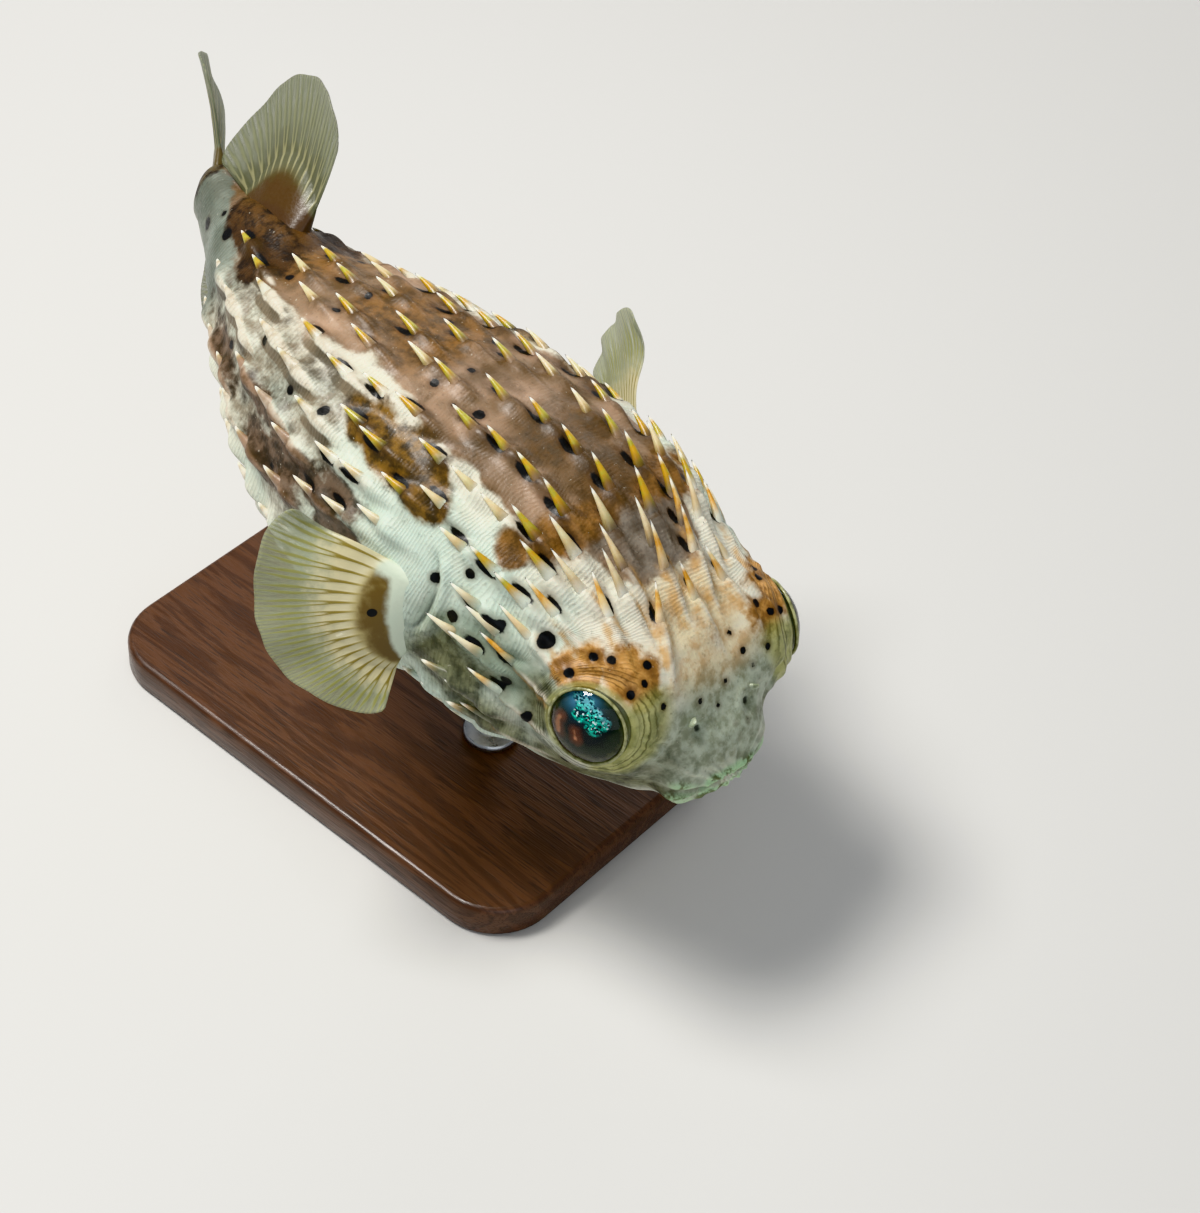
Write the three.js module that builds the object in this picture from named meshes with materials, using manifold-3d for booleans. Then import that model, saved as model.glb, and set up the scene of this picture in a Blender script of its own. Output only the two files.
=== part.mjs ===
// Long-spine porcupine pufferfish, a still life-size museum model on a plain display stand.
// Millimetres, +Z up. The fish is shaped in its own frame: x forward, y to its left, z up.
// Station s runs back from the snout along the midline. Angle phi runs round a section from
// the ridge of the back (0) to the belly (PI), positive on the fish's right side.

import * as THREE from 'three';
import { mergeVertices } from 'three/addons/utils/BufferGeometryUtils.js';
import Module from 'manifold-3d';

const wasm = await Module();
wasm.setup();

// ---- driving dimensions ----

const BODY_LENGTH = 200;
const HEAD_END = 66;
const TRUNK_END = 178;
const GAP = 0.3;
const RING_SIDES = 26;
const SECTION_POWER = 2.3;
const NOSE_ROUND = 7;
const TAIL_ROUND = 5;

// Half width, and the heights of back and belly over the midline, at stations from the snout.
const HALF_WIDTH = throughPoints([
  [0, 11.5], [7, 15.2], [14, 20.6], [24, 27.8], [36, 32.8], [60, 37.5],
  [90, 38], [120, 32.3], [145, 22.9], [165, 14.6], [182, 8.8], [201, 5.2],
]);
const BACK = throughPoints([
  [0, -4], [7, 2.5], [14, 9.5], [24, 18], [36, 24.6], [60, 31.2],
  [90, 31], [120, 27], [145, 20.4], [165, 14.8], [182, 10.7], [201, 8.1],
]);
const BELLY = throughPoints([
  [0, -17.5], [7, -22], [14, -25.6], [24, -29], [36, -31.9], [60, -35.2],
  [90, -36.9], [120, -32.7], [145, -22.7], [165, -15.3], [182, -10.5], [201, -7.9],
]);

// The midline: the head is turned to the right, the tail swings to the left.
const HEAD_TURN = 0.128;
const HEAD_TURN_FROM = 80;
const TAIL_BEND = 0.513;
const TAIL_BEND_FROM = 95;
const TAIL_BEND_POWER = 1.3;

// The head is also rolled a little, its left side up, about a line just below the midline.
const HEAD_ROLL = 0.11;
const HEAD_ROLL_FROM = 85;
const HEAD_ROLL_AXIS = -2;

// Attitude on the stand: nose down, left side down.
const NOSE_DOWN = THREE.MathUtils.degToRad(11);
const LEFT_DOWN = THREE.MathUtils.degToRad(11);

// Eyes: flattened balls, each set in a rim that rises to a flat ring round it.
const EYE = { s: 21.2, y: 28.2, z: 3.2, radius: 9.4, depth: 6, forward: 0.3, up: 0.18 };
const EYE_RIM = { height: 2.5, spread: 14.5 };

// Mouth: a short slit between rounded lips.
const MOUTH = { z: -11, width: 13, height: 1.6, depth: 3.2 };
const LIPS = { s: 2.8, height: 2.2, spread: 2.8 };

// Nostrils: a short upright flap on each side of the snout.
const NOSTRIL = { s: 9.5, phi: 0.4, height: 3, width: 3.4, thickness: 1.1, sunk: 1.2 };

// Spines: rows round the body, each spine lying back in its fleshy sheath.
const SPINE_ROWS = [24.5, 30.5, 37, 44.5, 52.5, 61, 71.5, 81, 91, 101, 111, 121, 131, 140.5, 149.5, 158];
const SPINE_JITTER = 1.3;
const SPINE_SIDES = 3;
const SPINE_ROOT_RADIUS = 1.6;
const SPINE_SUNK = 1.6;
const SPINE_LIFT = 0.3;
const SPINE_SIDE_LIFT = 0.17;

// Display stand: a flat base and two rods with a foot and a saddle each.
const BASE = { length: 136, width: 88, height: 9, corner: 16, bevel: 1.2 };
const ROD = { radius: 3, foot: 7, footHeight: 2.4, saddle: 6.5, saddleHeight: 9, sides: 16 };
const ROD_STATIONS = [78, 128];
const BELLY_CLEARANCE = 44;

// ---- the shape of the body ----

// A smooth curve through [station, value] pairs.
function throughPoints(pairs) {
  const slopes = pairs.map((pair, i) => {
    const before = pairs[Math.max(i - 1, 0)];
    const after = pairs[Math.min(i + 1, pairs.length - 1)];
    return (after[1] - before[1]) / (after[0] - before[0]);
  });
  return (s) => {
    const last = pairs.length - 2;
    let i = 0;
    while (i < last && s > pairs[i + 1][0]) i += 1;
    const [s0, v0] = pairs[i];
    const [s1, v1] = pairs[i + 1];
    const span = s1 - s0;
    const t = THREE.MathUtils.clamp((s - s0) / span, 0, 1);
    const rise = v0 * (1 + 2 * t) * (1 - t) ** 2 + v1 * t * t * (3 - 2 * t);
    return rise + span * (slopes[i] * t * (1 - t) ** 2 - slopes[i + 1] * t * t * (1 - t));
  };
}

// Heading of the midline, as the angle by which it turns to the left going back.
function heading(s) {
  const back = Math.max((s - TAIL_BEND_FROM) / (BODY_LENGTH - TAIL_BEND_FROM), 0);
  const front = THREE.MathUtils.clamp((HEAD_TURN_FROM - s) / HEAD_TURN_FROM, 0, 1);
  return TAIL_BEND * back ** TAIL_BEND_POWER + HEAD_TURN * front;
}

// The midline, stepped out once every millimetre.
const MIDLINE = [[0, 0]];
for (let s = 0; s < BODY_LENGTH + 5; s += 1) {
  const angle = heading(s + 0.5);
  const [x, y] = MIDLINE[s];
  MIDLINE.push([x - Math.cos(angle), y + Math.sin(angle)]);
}
const MIDLINE_SHIFT = MIDLINE[TAIL_BEND_FROM][1];

function headRoll(s) {
  return HEAD_ROLL * THREE.MathUtils.clamp((HEAD_ROLL_FROM - s) / HEAD_ROLL_FROM, 0, 1);
}

// A point beside the midline: y to the left of it, z above it.
function place(s, y, z) {
  const i = THREE.MathUtils.clamp(Math.floor(s), 0, MIDLINE.length - 2);
  const t = s - i;
  const angle = heading(s);
  const x0 = THREE.MathUtils.lerp(MIDLINE[i][0], MIDLINE[i + 1][0], t);
  const y0 = THREE.MathUtils.lerp(MIDLINE[i][1], MIDLINE[i + 1][1], t) - MIDLINE_SHIFT;
  const roll = headRoll(s);
  const over = z - HEAD_ROLL_AXIS;
  const left = y * Math.cos(roll) - over * Math.sin(roll);
  const up = over * Math.cos(roll) + y * Math.sin(roll) + HEAD_ROLL_AXIS;
  return new THREE.Vector3(x0 + Math.sin(angle) * left, y0 + Math.cos(angle) * left, up);
}

// Sections shrink to a round end at the lips and at the root of the tail fin.
function roundEnd(s) {
  const nose = 1 - THREE.MathUtils.clamp(s / NOSE_ROUND, 0, 1);
  const tail = THREE.MathUtils.clamp((s - BODY_LENGTH + TAIL_ROUND) / (TAIL_ROUND + 1), 0, 1);
  return Math.sqrt(1 - nose ** 2.2) * Math.sqrt(1 - tail * tail);
}

const bump = (distance, spread, power = 2) => Math.exp(-((distance / spread) ** power));
const signedPower = (value, power) => Math.sign(value) * Math.abs(value) ** power;

// Where an eye sits and the way that it faces; side is -1 right, 1 left.
function eyeSeat(side) {
  const angle = heading(EYE.s);
  const forward = new THREE.Vector3(Math.cos(angle), -Math.sin(angle), 0);
  const left = new THREE.Vector3(Math.sin(angle), Math.cos(angle), 0).applyAxisAngle(forward, headRoll(EYE.s));
  const axis = new THREE.Vector3().crossVectors(forward, left).multiplyScalar(EYE.up);
  axis.addScaledVector(forward, EYE.forward).addScaledVector(left, side);
  return { centre: place(EYE.s, side * EYE.y, EYE.z), axis: axis.normalize() };
}

const EYE_SEATS = { right: eyeSeat(-1), left: eyeSeat(1) };

// Draws a point of the skin near an eye out to the flat ring of its rim.
function raiseRim(point, seat) {
  const offset = point.clone().sub(seat.centre);
  const height = offset.dot(seat.axis);
  const away = offset.addScaledVector(seat.axis, -height).length();
  point.addScaledVector(seat.axis, (EYE_RIM.height - height) * bump(away, EYE_RIM.spread, 4));
}

// A point of the body's surface, raised by grow.
function surface(s, phi, grow = 0) {
  const close = roundEnd(s);
  const lip = LIPS.height * bump(s - LIPS.s, LIPS.spread) * close;
  const middle = (BACK(s) + BELLY(s)) / 2;
  const halfHeight = ((BACK(s) - BELLY(s)) / 2) * close + grow + lip;
  const halfWidth = HALF_WIDTH(s) * close + grow + lip;
  const side = signedPower(Math.sin(phi), 2 / SECTION_POWER);
  const z = middle + halfHeight * signedPower(Math.cos(phi), 2 / SECTION_POWER);
  const point = place(s, -side * halfWidth, z);
  if (s < HEAD_END) raiseRim(point, side > 0 ? EYE_SEATS.right : EYE_SEATS.left);
  return point;
}

// Outward direction of the surface, and the direction along it towards the tail.
function surfaceFrame(s, phi) {
  const step = 0.5;
  const back = surface(s + step, phi).sub(surface(Math.max(s - step, 0), phi)).normalize();
  const round = surface(s, phi + 0.02).sub(surface(s, phi - 0.02));
  const out = back.clone().cross(round).normalize();
  return { back, out };
}

// ---- building solids ----

// A closed mesh from rings of points; each ring is capped by its middle point at the ends.
function loft(rings) {
  const middle = (ring) => ring.reduce((sum, p) => sum.add(p), new THREE.Vector3()).divideScalar(ring.length);
  const sides = rings[0].length;
  const points = [...rings.flat(), middle(rings[0]), middle(rings.at(-1))];
  const head = rings.length * sides;
  const faces = [];
  for (let j = 0; j < sides; j += 1) {
    const k = (j + 1) % sides;
    for (let i = 0; i + 1 < rings.length; i += 1) {
      const a = i * sides + j;
      const b = i * sides + k;
      faces.push(a, a + sides, b, b, a + sides, b + sides);
    }
    const end = (rings.length - 1) * sides;
    faces.push(head, j, k, head + 1, end + k, end + j);
  }
  const inward = faces.reduce((sum, a, i) => {
    if (i % 3) return sum;
    return sum + points[a].dot(points[faces[i + 1]].clone().cross(points[faces[i + 2]]));
  }, 0) < 0;
  const geometry = new THREE.BufferGeometry().setFromPoints(points);
  geometry.setIndex(inward ? faces.reverse() : faces);
  return geometry;
}

function solidOf(geometry) {
  const bare = geometry.clone();
  bare.deleteAttribute('normal');
  bare.deleteAttribute('uv');
  const merged = mergeVertices(bare, 1e-4);
  const vertProperties = new Float32Array(merged.attributes.position.array);
  const triVerts = new Uint32Array(merged.index.array);
  return new wasm.Manifold(new wasm.Mesh({ numProp: 3, vertProperties, triVerts }));
}

function geometryOf(solid) {
  const mesh = solid.getMesh();
  const geometry = new THREE.BufferGeometry();
  geometry.setAttribute('position', new THREE.BufferAttribute(mesh.vertProperties, 3));
  geometry.setIndex(new THREE.BufferAttribute(mesh.triVerts, 1));
  return geometry;
}

function named(name, geometry, material) {
  const mesh = new THREE.Mesh(geometry, material);
  mesh.name = name;
  return mesh;
}

function bodyLength(stations, grow = 0) {
  const rings = stations.map((s) => {
    const ring = [];
    for (let j = 0; j < RING_SIDES; j += 1) ring.push(surface(s, (j / RING_SIDES) * 2 * Math.PI, grow));
    return ring;
  });
  return loft(rings);
}

function stationsBetween(from, to, count) {
  return Array.from({ length: count + 1 }, (unused, i) => THREE.MathUtils.lerp(from, to, i / count));
}

const NOSE_STATIONS = [0.1, 0.7, 2, 4, 6.5, 10, 14];
const HEAD_STATIONS = [...NOSE_STATIONS, ...stationsBetween(18.5, HEAD_END - GAP / 2, 7)];
const TRUNK_STATIONS = stationsBetween(HEAD_END + GAP / 2, TRUNK_END - GAP / 2, 11);
const TAIL_STATIONS = [...stationsBetween(TRUNK_END + GAP / 2, 195, 3), 198, 200, 200.9];

// ---- spines ----

// A repeatable number between -1 and 1 for each row and place.
function scatter(row, column, salt) {
  const value = Math.sin(row * 12.9898 + column * 78.233 + salt * 37.719) * 43758.5453;
  return 2 * (value - Math.floor(value)) - 1;
}

// Spines are longest on the forehead and behind the pectoral fins, shortest at both ends.
const SPINE_LENGTH = throughPoints([[20, 11], [34, 14], [46, 13], [64, 10], [90, 10.5], [130, 10], [165, 7.5]]);
const SPINE_SPACING = throughPoints([[20, 7.6], [42, 8.2], [60, 10.4], [165, 10.4]]);

function spineLength(s, phi) {
  const under = (1 - Math.cos(phi)) / 2;
  return SPINE_LENGTH(s) * (1 - 0.3 * under * under);
}

// Places kept clear of spines: lips, eyes, cheek slits, fin roots and the rods' saddles.
function clearOfSpines(s, phi, point) {
  const side = Math.abs(phi);
  const seat = phi > 0 ? EYE_SEATS.right : EYE_SEATS.left;
  const nearEye = point.distanceTo(seat.centre) < 17;
  const low = side > 2.0;
  const snout = s < (low ? 40 : 24) || (s < 33 && side > 1.15 && side < 1.9);
  const pectoral = s > 62 && s < 82 && side > 1.1 && side < 2.25;
  const fins = s > 144 && (side < 0.5 || side > 2.75);
  const saddles = side > 2.55 && ROD_STATIONS.some((rod) => rod - s < 19 && s - rod < 10);
  return !(nearEye || snout || pectoral || fins || saddles);
}

function spineSolid(s, phi, lift) {
  const { back, out } = surfaceFrame(s, phi);
  const along = back.multiplyScalar(Math.cos(lift)).addScaledVector(out, Math.sin(lift));
  const height = spineLength(s, phi) + SPINE_SUNK;
  const cone = new THREE.ConeGeometry(SPINE_ROOT_RADIUS, height, SPINE_SIDES);
  const root = surface(s, phi);
  cone.translate(0, height / 2 - SPINE_SUNK, 0);
  cone.applyQuaternion(new THREE.Quaternion().setFromUnitVectors(new THREE.Vector3(0, 1, 0), along));
  return solidOf(cone.translate(root.x, root.y, root.z));
}

function spinesBetween(from, to) {
  const spines = [];
  SPINE_ROWS.forEach((rowStation, row) => {
    const girth = 2 * Math.PI * (HALF_WIDTH(rowStation) + (BACK(rowStation) - BELLY(rowStation)) / 2) / 2;
    const count = Math.round(girth / SPINE_SPACING(rowStation));
    for (let column = 0; column < count; column += 1) {
      const s = rowStation + scatter(row, column, 1) * SPINE_JITTER;
      const turn = (column + 0.5 * (row % 2) + 0.25 + 0.14 * scatter(row, column, 2)) / count;
      const phi = turn * 2 * Math.PI - Math.PI;
      if (s < from || s > to || !clearOfSpines(s, phi, surface(s, phi))) continue;
      const lift = THREE.MathUtils.lerp(SPINE_LIFT, SPINE_SIDE_LIFT, Math.abs(Math.sin(phi)));
      spines.push(spineSolid(s, phi, lift + 0.04 * scatter(row, column, 3)));
    }
  });
  return spines;
}

// ---- fins ----

// A fin is a fan of rays: base(t) is its root line and ray(t) its rays, t running 0 to 1.
// It thins from root to edge, and its rays bow a little to one side.
function fan({ base, ray, rootThickness, edgeThickness, bow, rays = 9, steps = 4 }) {
  const middle = (t, r) => {
    const along = ray(t);
    const point = base(t).addScaledVector(along, r);
    const next = ray(Math.min(t + 0.05, 1)).sub(ray(Math.max(t - 0.05, 0)));
    const side = new THREE.Vector3().crossVectors(next, along).normalize();
    return point.addScaledVector(side, bow * 4 * r * (1 - r));
  };
  const normalAt = (t, r) => {
    const acrossRays = middle(Math.min(t + 0.04, 1), r).sub(middle(Math.max(t - 0.04, 0), r));
    const alongRay = middle(t, Math.min(r + 0.04, 1)).sub(middle(t, Math.max(r - 0.04, 0)));
    return acrossRays.cross(alongRay).normalize();
  };
  const rings = [];
  for (let i = 0; i <= rays; i += 1) {
    const t = i / rays;
    const upper = [];
    const lower = [];
    for (let j = 0; j <= steps; j += 1) {
      const r = j / steps;
      const half = THREE.MathUtils.lerp(rootThickness, edgeThickness, Math.min(r * 1.8, 1)) / 2;
      const offset = normalAt(t, r).multiplyScalar(half);
      upper.push(middle(t, r).add(offset));
      lower.unshift(middle(t, r).sub(offset));
    }
    rings.push([...upper, ...lower]);
  }
  return loft(rings);
}

// Directions of rays spread through three named directions.
function spread(first, centre, last) {
  const curve = new THREE.QuadraticBezierCurve3(
    new THREE.Vector3(...first),
    new THREE.Vector3(...centre).multiplyScalar(2)
      .addScaledVector(new THREE.Vector3(...first), -0.5)
      .addScaledVector(new THREE.Vector3(...last), -0.5),
    new THREE.Vector3(...last),
  );
  return (t) => curve.getPoint(t);
}

// Pectoral fins: broad fans on upright fleshy roots, the right one swept down and forward,
// the left one raised. Side is -1 right, 1 left.
const PECTORAL = { s: 71, lean: 1.5, top: 6, bottom: -15, sunk: 2.4 };
const RIGHT_RAYS = spread([-33, -13, 1], [-16.5, -25.5, -12], [8.5, -12, -9]);
const LEFT_RAYS = spread([-21, 14, 26], [-27, 16, 20], [-22, 14, 15]);

function pectoralFin(side, ray) {
  const base = (t) => {
    const s = PECTORAL.s - PECTORAL.lean * t;
    return place(s, side * (HALF_WIDTH(s) - PECTORAL.sunk), THREE.MathUtils.lerp(PECTORAL.top, PECTORAL.bottom, t));
  };
  return fan({ base, ray, rootThickness: 4.2, edgeThickness: 0.8, bow: 1.5, rays: 12, steps: 5 });
}

// The dorsal and anal fins stand on the midline far back and lean to the left.
function midlineFin({ from, to, sunk, height, rays, bow }) {
  const base = (t) => {
    const s = THREE.MathUtils.lerp(from, to, t);
    return place(s, 0, height(s) - sunk);
  };
  const ray = (t) => rays(t).multiplyScalar(1 - 0.06 * Math.cos(t * Math.PI * 2));
  return fan({ base, ray, rootThickness: 3.4, edgeThickness: 0.8, bow });
}

const DORSAL_FIN = {
  from: 156.5, to: 175, sunk: 2.5, height: BACK, bow: 1,
  rays: spread([-6.5, 13, 25.5], [-16.5, 15, 27.5], [-22, 7, 1]),
};
const ANAL_FIN = {
  from: 158, to: 176, sunk: -2.5, height: BELLY, bow: 1,
  rays: spread([-6, 6, -19], [-14, 8, -23], [-16, 5, -6]),
};

// The tail fin: a rounded fan on the upright root of the tail, swung further to the left.
const TAIL_FIN = {
  length: 36, swingTop: 0.36, swingBottom: 0.95, rise: 0.3, spread: 0.34, corner: 0.72, rootHalf: 6,
};

function tailFin() {
  const { length, swingTop, swingBottom, rise, spread: half, corner, rootHalf } = TAIL_FIN;
  const base = (t) => place(BODY_LENGTH - 1.5, 0, rootHalf * (1 - 2 * t));
  const ray = (t) => {
    const angle = rise + half * (1 - 2 * t);
    const reach = length * THREE.MathUtils.lerp(corner, 1, Math.sin(t * Math.PI));
    const level = Math.cos(angle) * reach;
    const swing = THREE.MathUtils.lerp(swingTop, swingBottom, t);
    return new THREE.Vector3(-Math.cos(swing) * level, Math.sin(swing) * level, Math.sin(angle) * reach);
  };
  return fan({ base, ray, rootThickness: 3, edgeThickness: 0.8, bow: 0.8 });
}

// ---- eyes, mouth and nostrils ----

function eyeBall({ centre, axis }, grow) {
  const ball = new THREE.SphereGeometry(1, 14, 9);
  ball.scale(EYE.radius + grow, EYE.depth + grow, EYE.radius + grow);
  ball.applyQuaternion(new THREE.Quaternion().setFromUnitVectors(new THREE.Vector3(0, 1, 0), axis));
  return ball.translate(centre.x, centre.y, centre.z);
}

function mouthSlit() {
  const slit = new THREE.CylinderGeometry(1, 1, MOUTH.height, 16);
  slit.rotateX(Math.PI / 2).scale(MOUTH.depth, MOUTH.width / 2, 1);
  const centre = place(-0.2, 0, MOUTH.z);
  return slit.translate(centre.x, centre.y, centre.z);
}

function nostrilFlap(side) {
  const phi = -side * NOSTRIL.phi;
  const { back, out } = surfaceFrame(NOSTRIL.s, phi);
  const across = new THREE.Vector3().crossVectors(back, out);
  const root = surface(NOSTRIL.s, phi);
  const levels = [-NOSTRIL.sunk, NOSTRIL.height * 0.6, NOSTRIL.height];
  const rings = levels.map((level, i) => {
    const ring = [];
    for (let j = 0; j < 8; j += 1) {
      const turn = (j / 8) * 2 * Math.PI;
      const wide = Math.cos(turn) * (NOSTRIL.width / 2) * (1 - 0.25 * i);
      const thick = Math.sin(turn) * (NOSTRIL.thickness / 2);
      ring.push(root.clone().addScaledVector(out, level).addScaledVector(across, wide)
        .addScaledVector(back, thick + level * 0.35));
    }
    return ring;
  });
  return loft(rings);
}

// ---- display stand ----

function standBase() {
  const { length, width, height, corner, bevel } = BASE;
  const right = length / 2 - bevel;
  const top = width / 2 - bevel;
  const outline = new THREE.Shape();
  outline.absarc(right - corner, top - corner, corner, 0, Math.PI / 2);
  outline.absarc(corner - right, top - corner, corner, Math.PI / 2, Math.PI);
  outline.absarc(corner - right, corner - top, corner, Math.PI, Math.PI * 1.5);
  outline.absarc(right - corner, corner - top, corner, Math.PI * 1.5, Math.PI * 2);
  const plate = new THREE.ExtrudeGeometry(outline, {
    depth: height - 2 * bevel, bevelThickness: bevel, bevelSize: bevel, bevelSegments: 1, curveSegments: 4,
  });
  return plate.translate(0, 0, bevel);
}

// A rod with a round foot and a wider saddle at its head, before the belly is cut from it.
function standRod(x, y, top) {
  const floor = BASE.height + GAP;
  const profile = [
    [0, floor], [ROD.foot, floor], [ROD.foot, floor + ROD.footHeight], [ROD.radius, floor + ROD.footHeight + 1],
    [ROD.radius, top - ROD.saddleHeight], [ROD.saddle, top - ROD.saddleHeight + 4], [ROD.saddle, top + 14],
    [0, top + 14],
  ].map(([radius, z]) => new THREE.Vector2(radius, z));
  return new THREE.LatheGeometry(profile, ROD.sides).rotateX(Math.PI / 2).translate(x, y, 0);
}

// ---- materials ----

const finish = (color, roughness, metalness = 0) => new THREE.MeshStandardMaterial({ color, roughness, metalness });
const SKIN = finish(0xa8927c, 0.5);
const TAIL_SKIN = finish(0xc9c6b4, 0.5);
const EYE_GLOSS = finish(0x14343c, 0.1);
const FIN = finish(0xbcb48a, 0.45);
const FLAP = finish(0xb9bfa2, 0.5);
const BASE_WOOD = finish(0x4a2f20, 0.4);
const ROD_STEEL = finish(0xb8bbbd, 0.35, 1);

// ---- assembly ----

const fish = new THREE.Group();
const stand = new THREE.Group();

const headBody = bodyLength(HEAD_STATIONS);
const trunkBody = bodyLength(TRUNK_STATIONS);
const tailBody = bodyLength(TAIL_STATIONS);
const wholeBody = bodyLength([...HEAD_STATIONS, ...TRUNK_STATIONS, ...TAIL_STATIONS, 201.3], GAP);

// The last spines of the head lie over the trunk and are trimmed clear of it.
let head = wasm.Manifold.union([solidOf(headBody), ...spinesBetween(0, HEAD_END)]);
head = head.subtract(solidOf(bodyLength(TRUNK_STATIONS, GAP)));
for (const seat of Object.values(EYE_SEATS)) head = head.subtract(solidOf(eyeBall(seat, GAP)));
head = head.subtract(solidOf(mouthSlit()));
const trunk = wasm.Manifold.union([solidOf(trunkBody), ...spinesBetween(HEAD_END, TRUNK_END)]);

const aroundBody = solidOf(wholeBody);
const cutFromBody = (geometry) => geometryOf(solidOf(geometry).subtract(aroundBody));

fish.add(named('head', geometryOf(head), SKIN));
fish.add(named('trunk', geometryOf(trunk), SKIN));
fish.add(named('tail', tailBody, TAIL_SKIN));
fish.add(named('eye_right', eyeBall(EYE_SEATS.right, 0), EYE_GLOSS));
fish.add(named('eye_left', eyeBall(EYE_SEATS.left, 0), EYE_GLOSS));
fish.add(named('nostril_right', cutFromBody(nostrilFlap(-1)), FLAP));
fish.add(named('nostril_left', cutFromBody(nostrilFlap(1)), FLAP));
fish.add(named('pectoral_fin_right', cutFromBody(pectoralFin(-1, RIGHT_RAYS)), FIN));
fish.add(named('pectoral_fin_left', cutFromBody(pectoralFin(1, LEFT_RAYS)), FIN));
fish.add(named('dorsal_fin', cutFromBody(midlineFin(DORSAL_FIN)), FIN));
fish.add(named('anal_fin', cutFromBody(midlineFin(ANAL_FIN)), FIN));
fish.add(named('caudal_fin', cutFromBody(tailFin()), FIN));

// The fish is pitched and banked, and set with its middle over the base.
const middleStation = (ROD_STATIONS[0] + ROD_STATIONS[1]) / 2;
fish.rotation.set(-LEFT_DOWN, NOSE_DOWN, 0, 'YXZ');
fish.updateMatrix();
const centre = place(middleStation, 0, 0).applyMatrix4(fish.matrix);
const lowest = place(middleStation, 0, BELLY(middleStation)).applyMatrix4(fish.matrix);
fish.position.set(-centre.x, -centre.y, BASE.height + BELLY_CLEARANCE - lowest.z);
fish.updateMatrix();

stand.add(named('stand_base', geometryOf(solidOf(standBase())), BASE_WOOD));
const standingBody = solidOf(wholeBody.clone().applyMatrix4(fish.matrix));
['stand_rod_front', 'stand_rod_rear'].forEach((name, i) => {
  const s = ROD_STATIONS[i];
  const axis = place(s, 0, 0).applyMatrix4(fish.matrix);
  const belly = place(s, 0, BELLY(s)).applyMatrix4(fish.matrix);
  const rod = solidOf(standRod(axis.x, axis.y, belly.z)).subtract(standingBody);
  stand.add(named(name, geometryOf(rod), ROD_STEEL));
});

const pufferfish = new THREE.Group();
pufferfish.add(fish, stand);

export default pufferfish;
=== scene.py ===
import math

import bpy
import numpy as np
from mathutils import Matrix, Vector
from mathutils.bvhtree import BVHTree


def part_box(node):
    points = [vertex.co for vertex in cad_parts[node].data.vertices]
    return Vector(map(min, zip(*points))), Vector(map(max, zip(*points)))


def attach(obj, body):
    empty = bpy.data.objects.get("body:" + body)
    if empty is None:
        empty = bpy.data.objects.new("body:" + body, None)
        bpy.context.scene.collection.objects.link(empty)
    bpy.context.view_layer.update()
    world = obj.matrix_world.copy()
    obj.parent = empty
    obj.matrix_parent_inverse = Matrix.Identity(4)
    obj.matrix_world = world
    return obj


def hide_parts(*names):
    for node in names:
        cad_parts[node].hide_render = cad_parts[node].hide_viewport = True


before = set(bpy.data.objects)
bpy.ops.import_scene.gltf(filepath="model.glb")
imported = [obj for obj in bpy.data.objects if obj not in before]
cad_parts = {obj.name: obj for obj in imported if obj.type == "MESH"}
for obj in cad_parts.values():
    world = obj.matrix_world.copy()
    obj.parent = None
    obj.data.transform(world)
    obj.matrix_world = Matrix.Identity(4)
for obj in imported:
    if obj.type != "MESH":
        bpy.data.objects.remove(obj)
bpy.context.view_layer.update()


# ---- The form of the body ----
# A long-spine porcupine fish, 200 mm from its lips to the root of its tail fin. It is shaped
# in millimetres in its own frame, x forward, y to its left and z up, and then set on the stand.
# Station s runs back from the lips, and phi runs round from the back, positive on the right.

MM = 0.001
BODY_LENGTH = 200
HEAD_END = 66
SECTION_POWER = 2.3
NOSE_ROUND = 7
TAIL_ROUND = 5


def through_points(*pairs):
    """A smooth curve through (station, value) pairs."""
    stations, values = np.array(pairs, float).T
    before = np.maximum(np.arange(len(stations)) - 1, 0)
    after = np.minimum(np.arange(len(stations)) + 1, len(stations) - 1)
    slopes = (values[after] - values[before]) / (stations[after] - stations[before])

    def curve(s):
        s = np.asarray(s, float)
        i = np.clip(np.searchsorted(stations, s) - 1, 0, len(stations) - 2)
        span = stations[i + 1] - stations[i]
        t = np.clip((s - stations[i]) / span, 0, 1)
        rise = values[i] * (1 + 2 * t) * (1 - t) ** 2 + values[i + 1] * t * t * (3 - 2 * t)
        return rise + span * (slopes[i] * t * (1 - t) ** 2 - slopes[i + 1] * t * t * (1 - t))

    return curve


half_width = through_points(
    (0, 11.5), (7, 15.2), (14, 20.6), (24, 27.8), (36, 32.8), (60, 37.5),
    (90, 38), (120, 32.3), (145, 22.9), (165, 14.6), (182, 8.8), (201, 5.2),
)
back_height = through_points(
    (0, -4), (7, 2.5), (14, 9.5), (24, 18), (36, 24.6), (60, 31.2),
    (90, 31), (120, 27), (145, 20.4), (165, 14.8), (182, 10.7), (201, 8.1),
)
belly_height = through_points(
    (0, -17.5), (7, -22), (14, -25.6), (24, -29), (36, -31.9), (60, -35.2),
    (90, -36.9), (120, -32.7), (145, -22.7), (165, -15.3), (182, -10.5), (201, -7.9),
)

HEAD_TURN, HEAD_TURN_FROM = 0.128, 80
TAIL_BEND, TAIL_BEND_FROM, TAIL_BEND_POWER = 0.513, 95, 1.3


def heading(s):
    """The angle by which the midline turns to the left, going back."""
    s = np.asarray(s, float)
    back = np.maximum((s - TAIL_BEND_FROM) / (BODY_LENGTH - TAIL_BEND_FROM), 0)
    front = np.clip((HEAD_TURN_FROM - s) / HEAD_TURN_FROM, 0, 1)
    return TAIL_BEND * back**TAIL_BEND_POWER + HEAD_TURN * front


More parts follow.
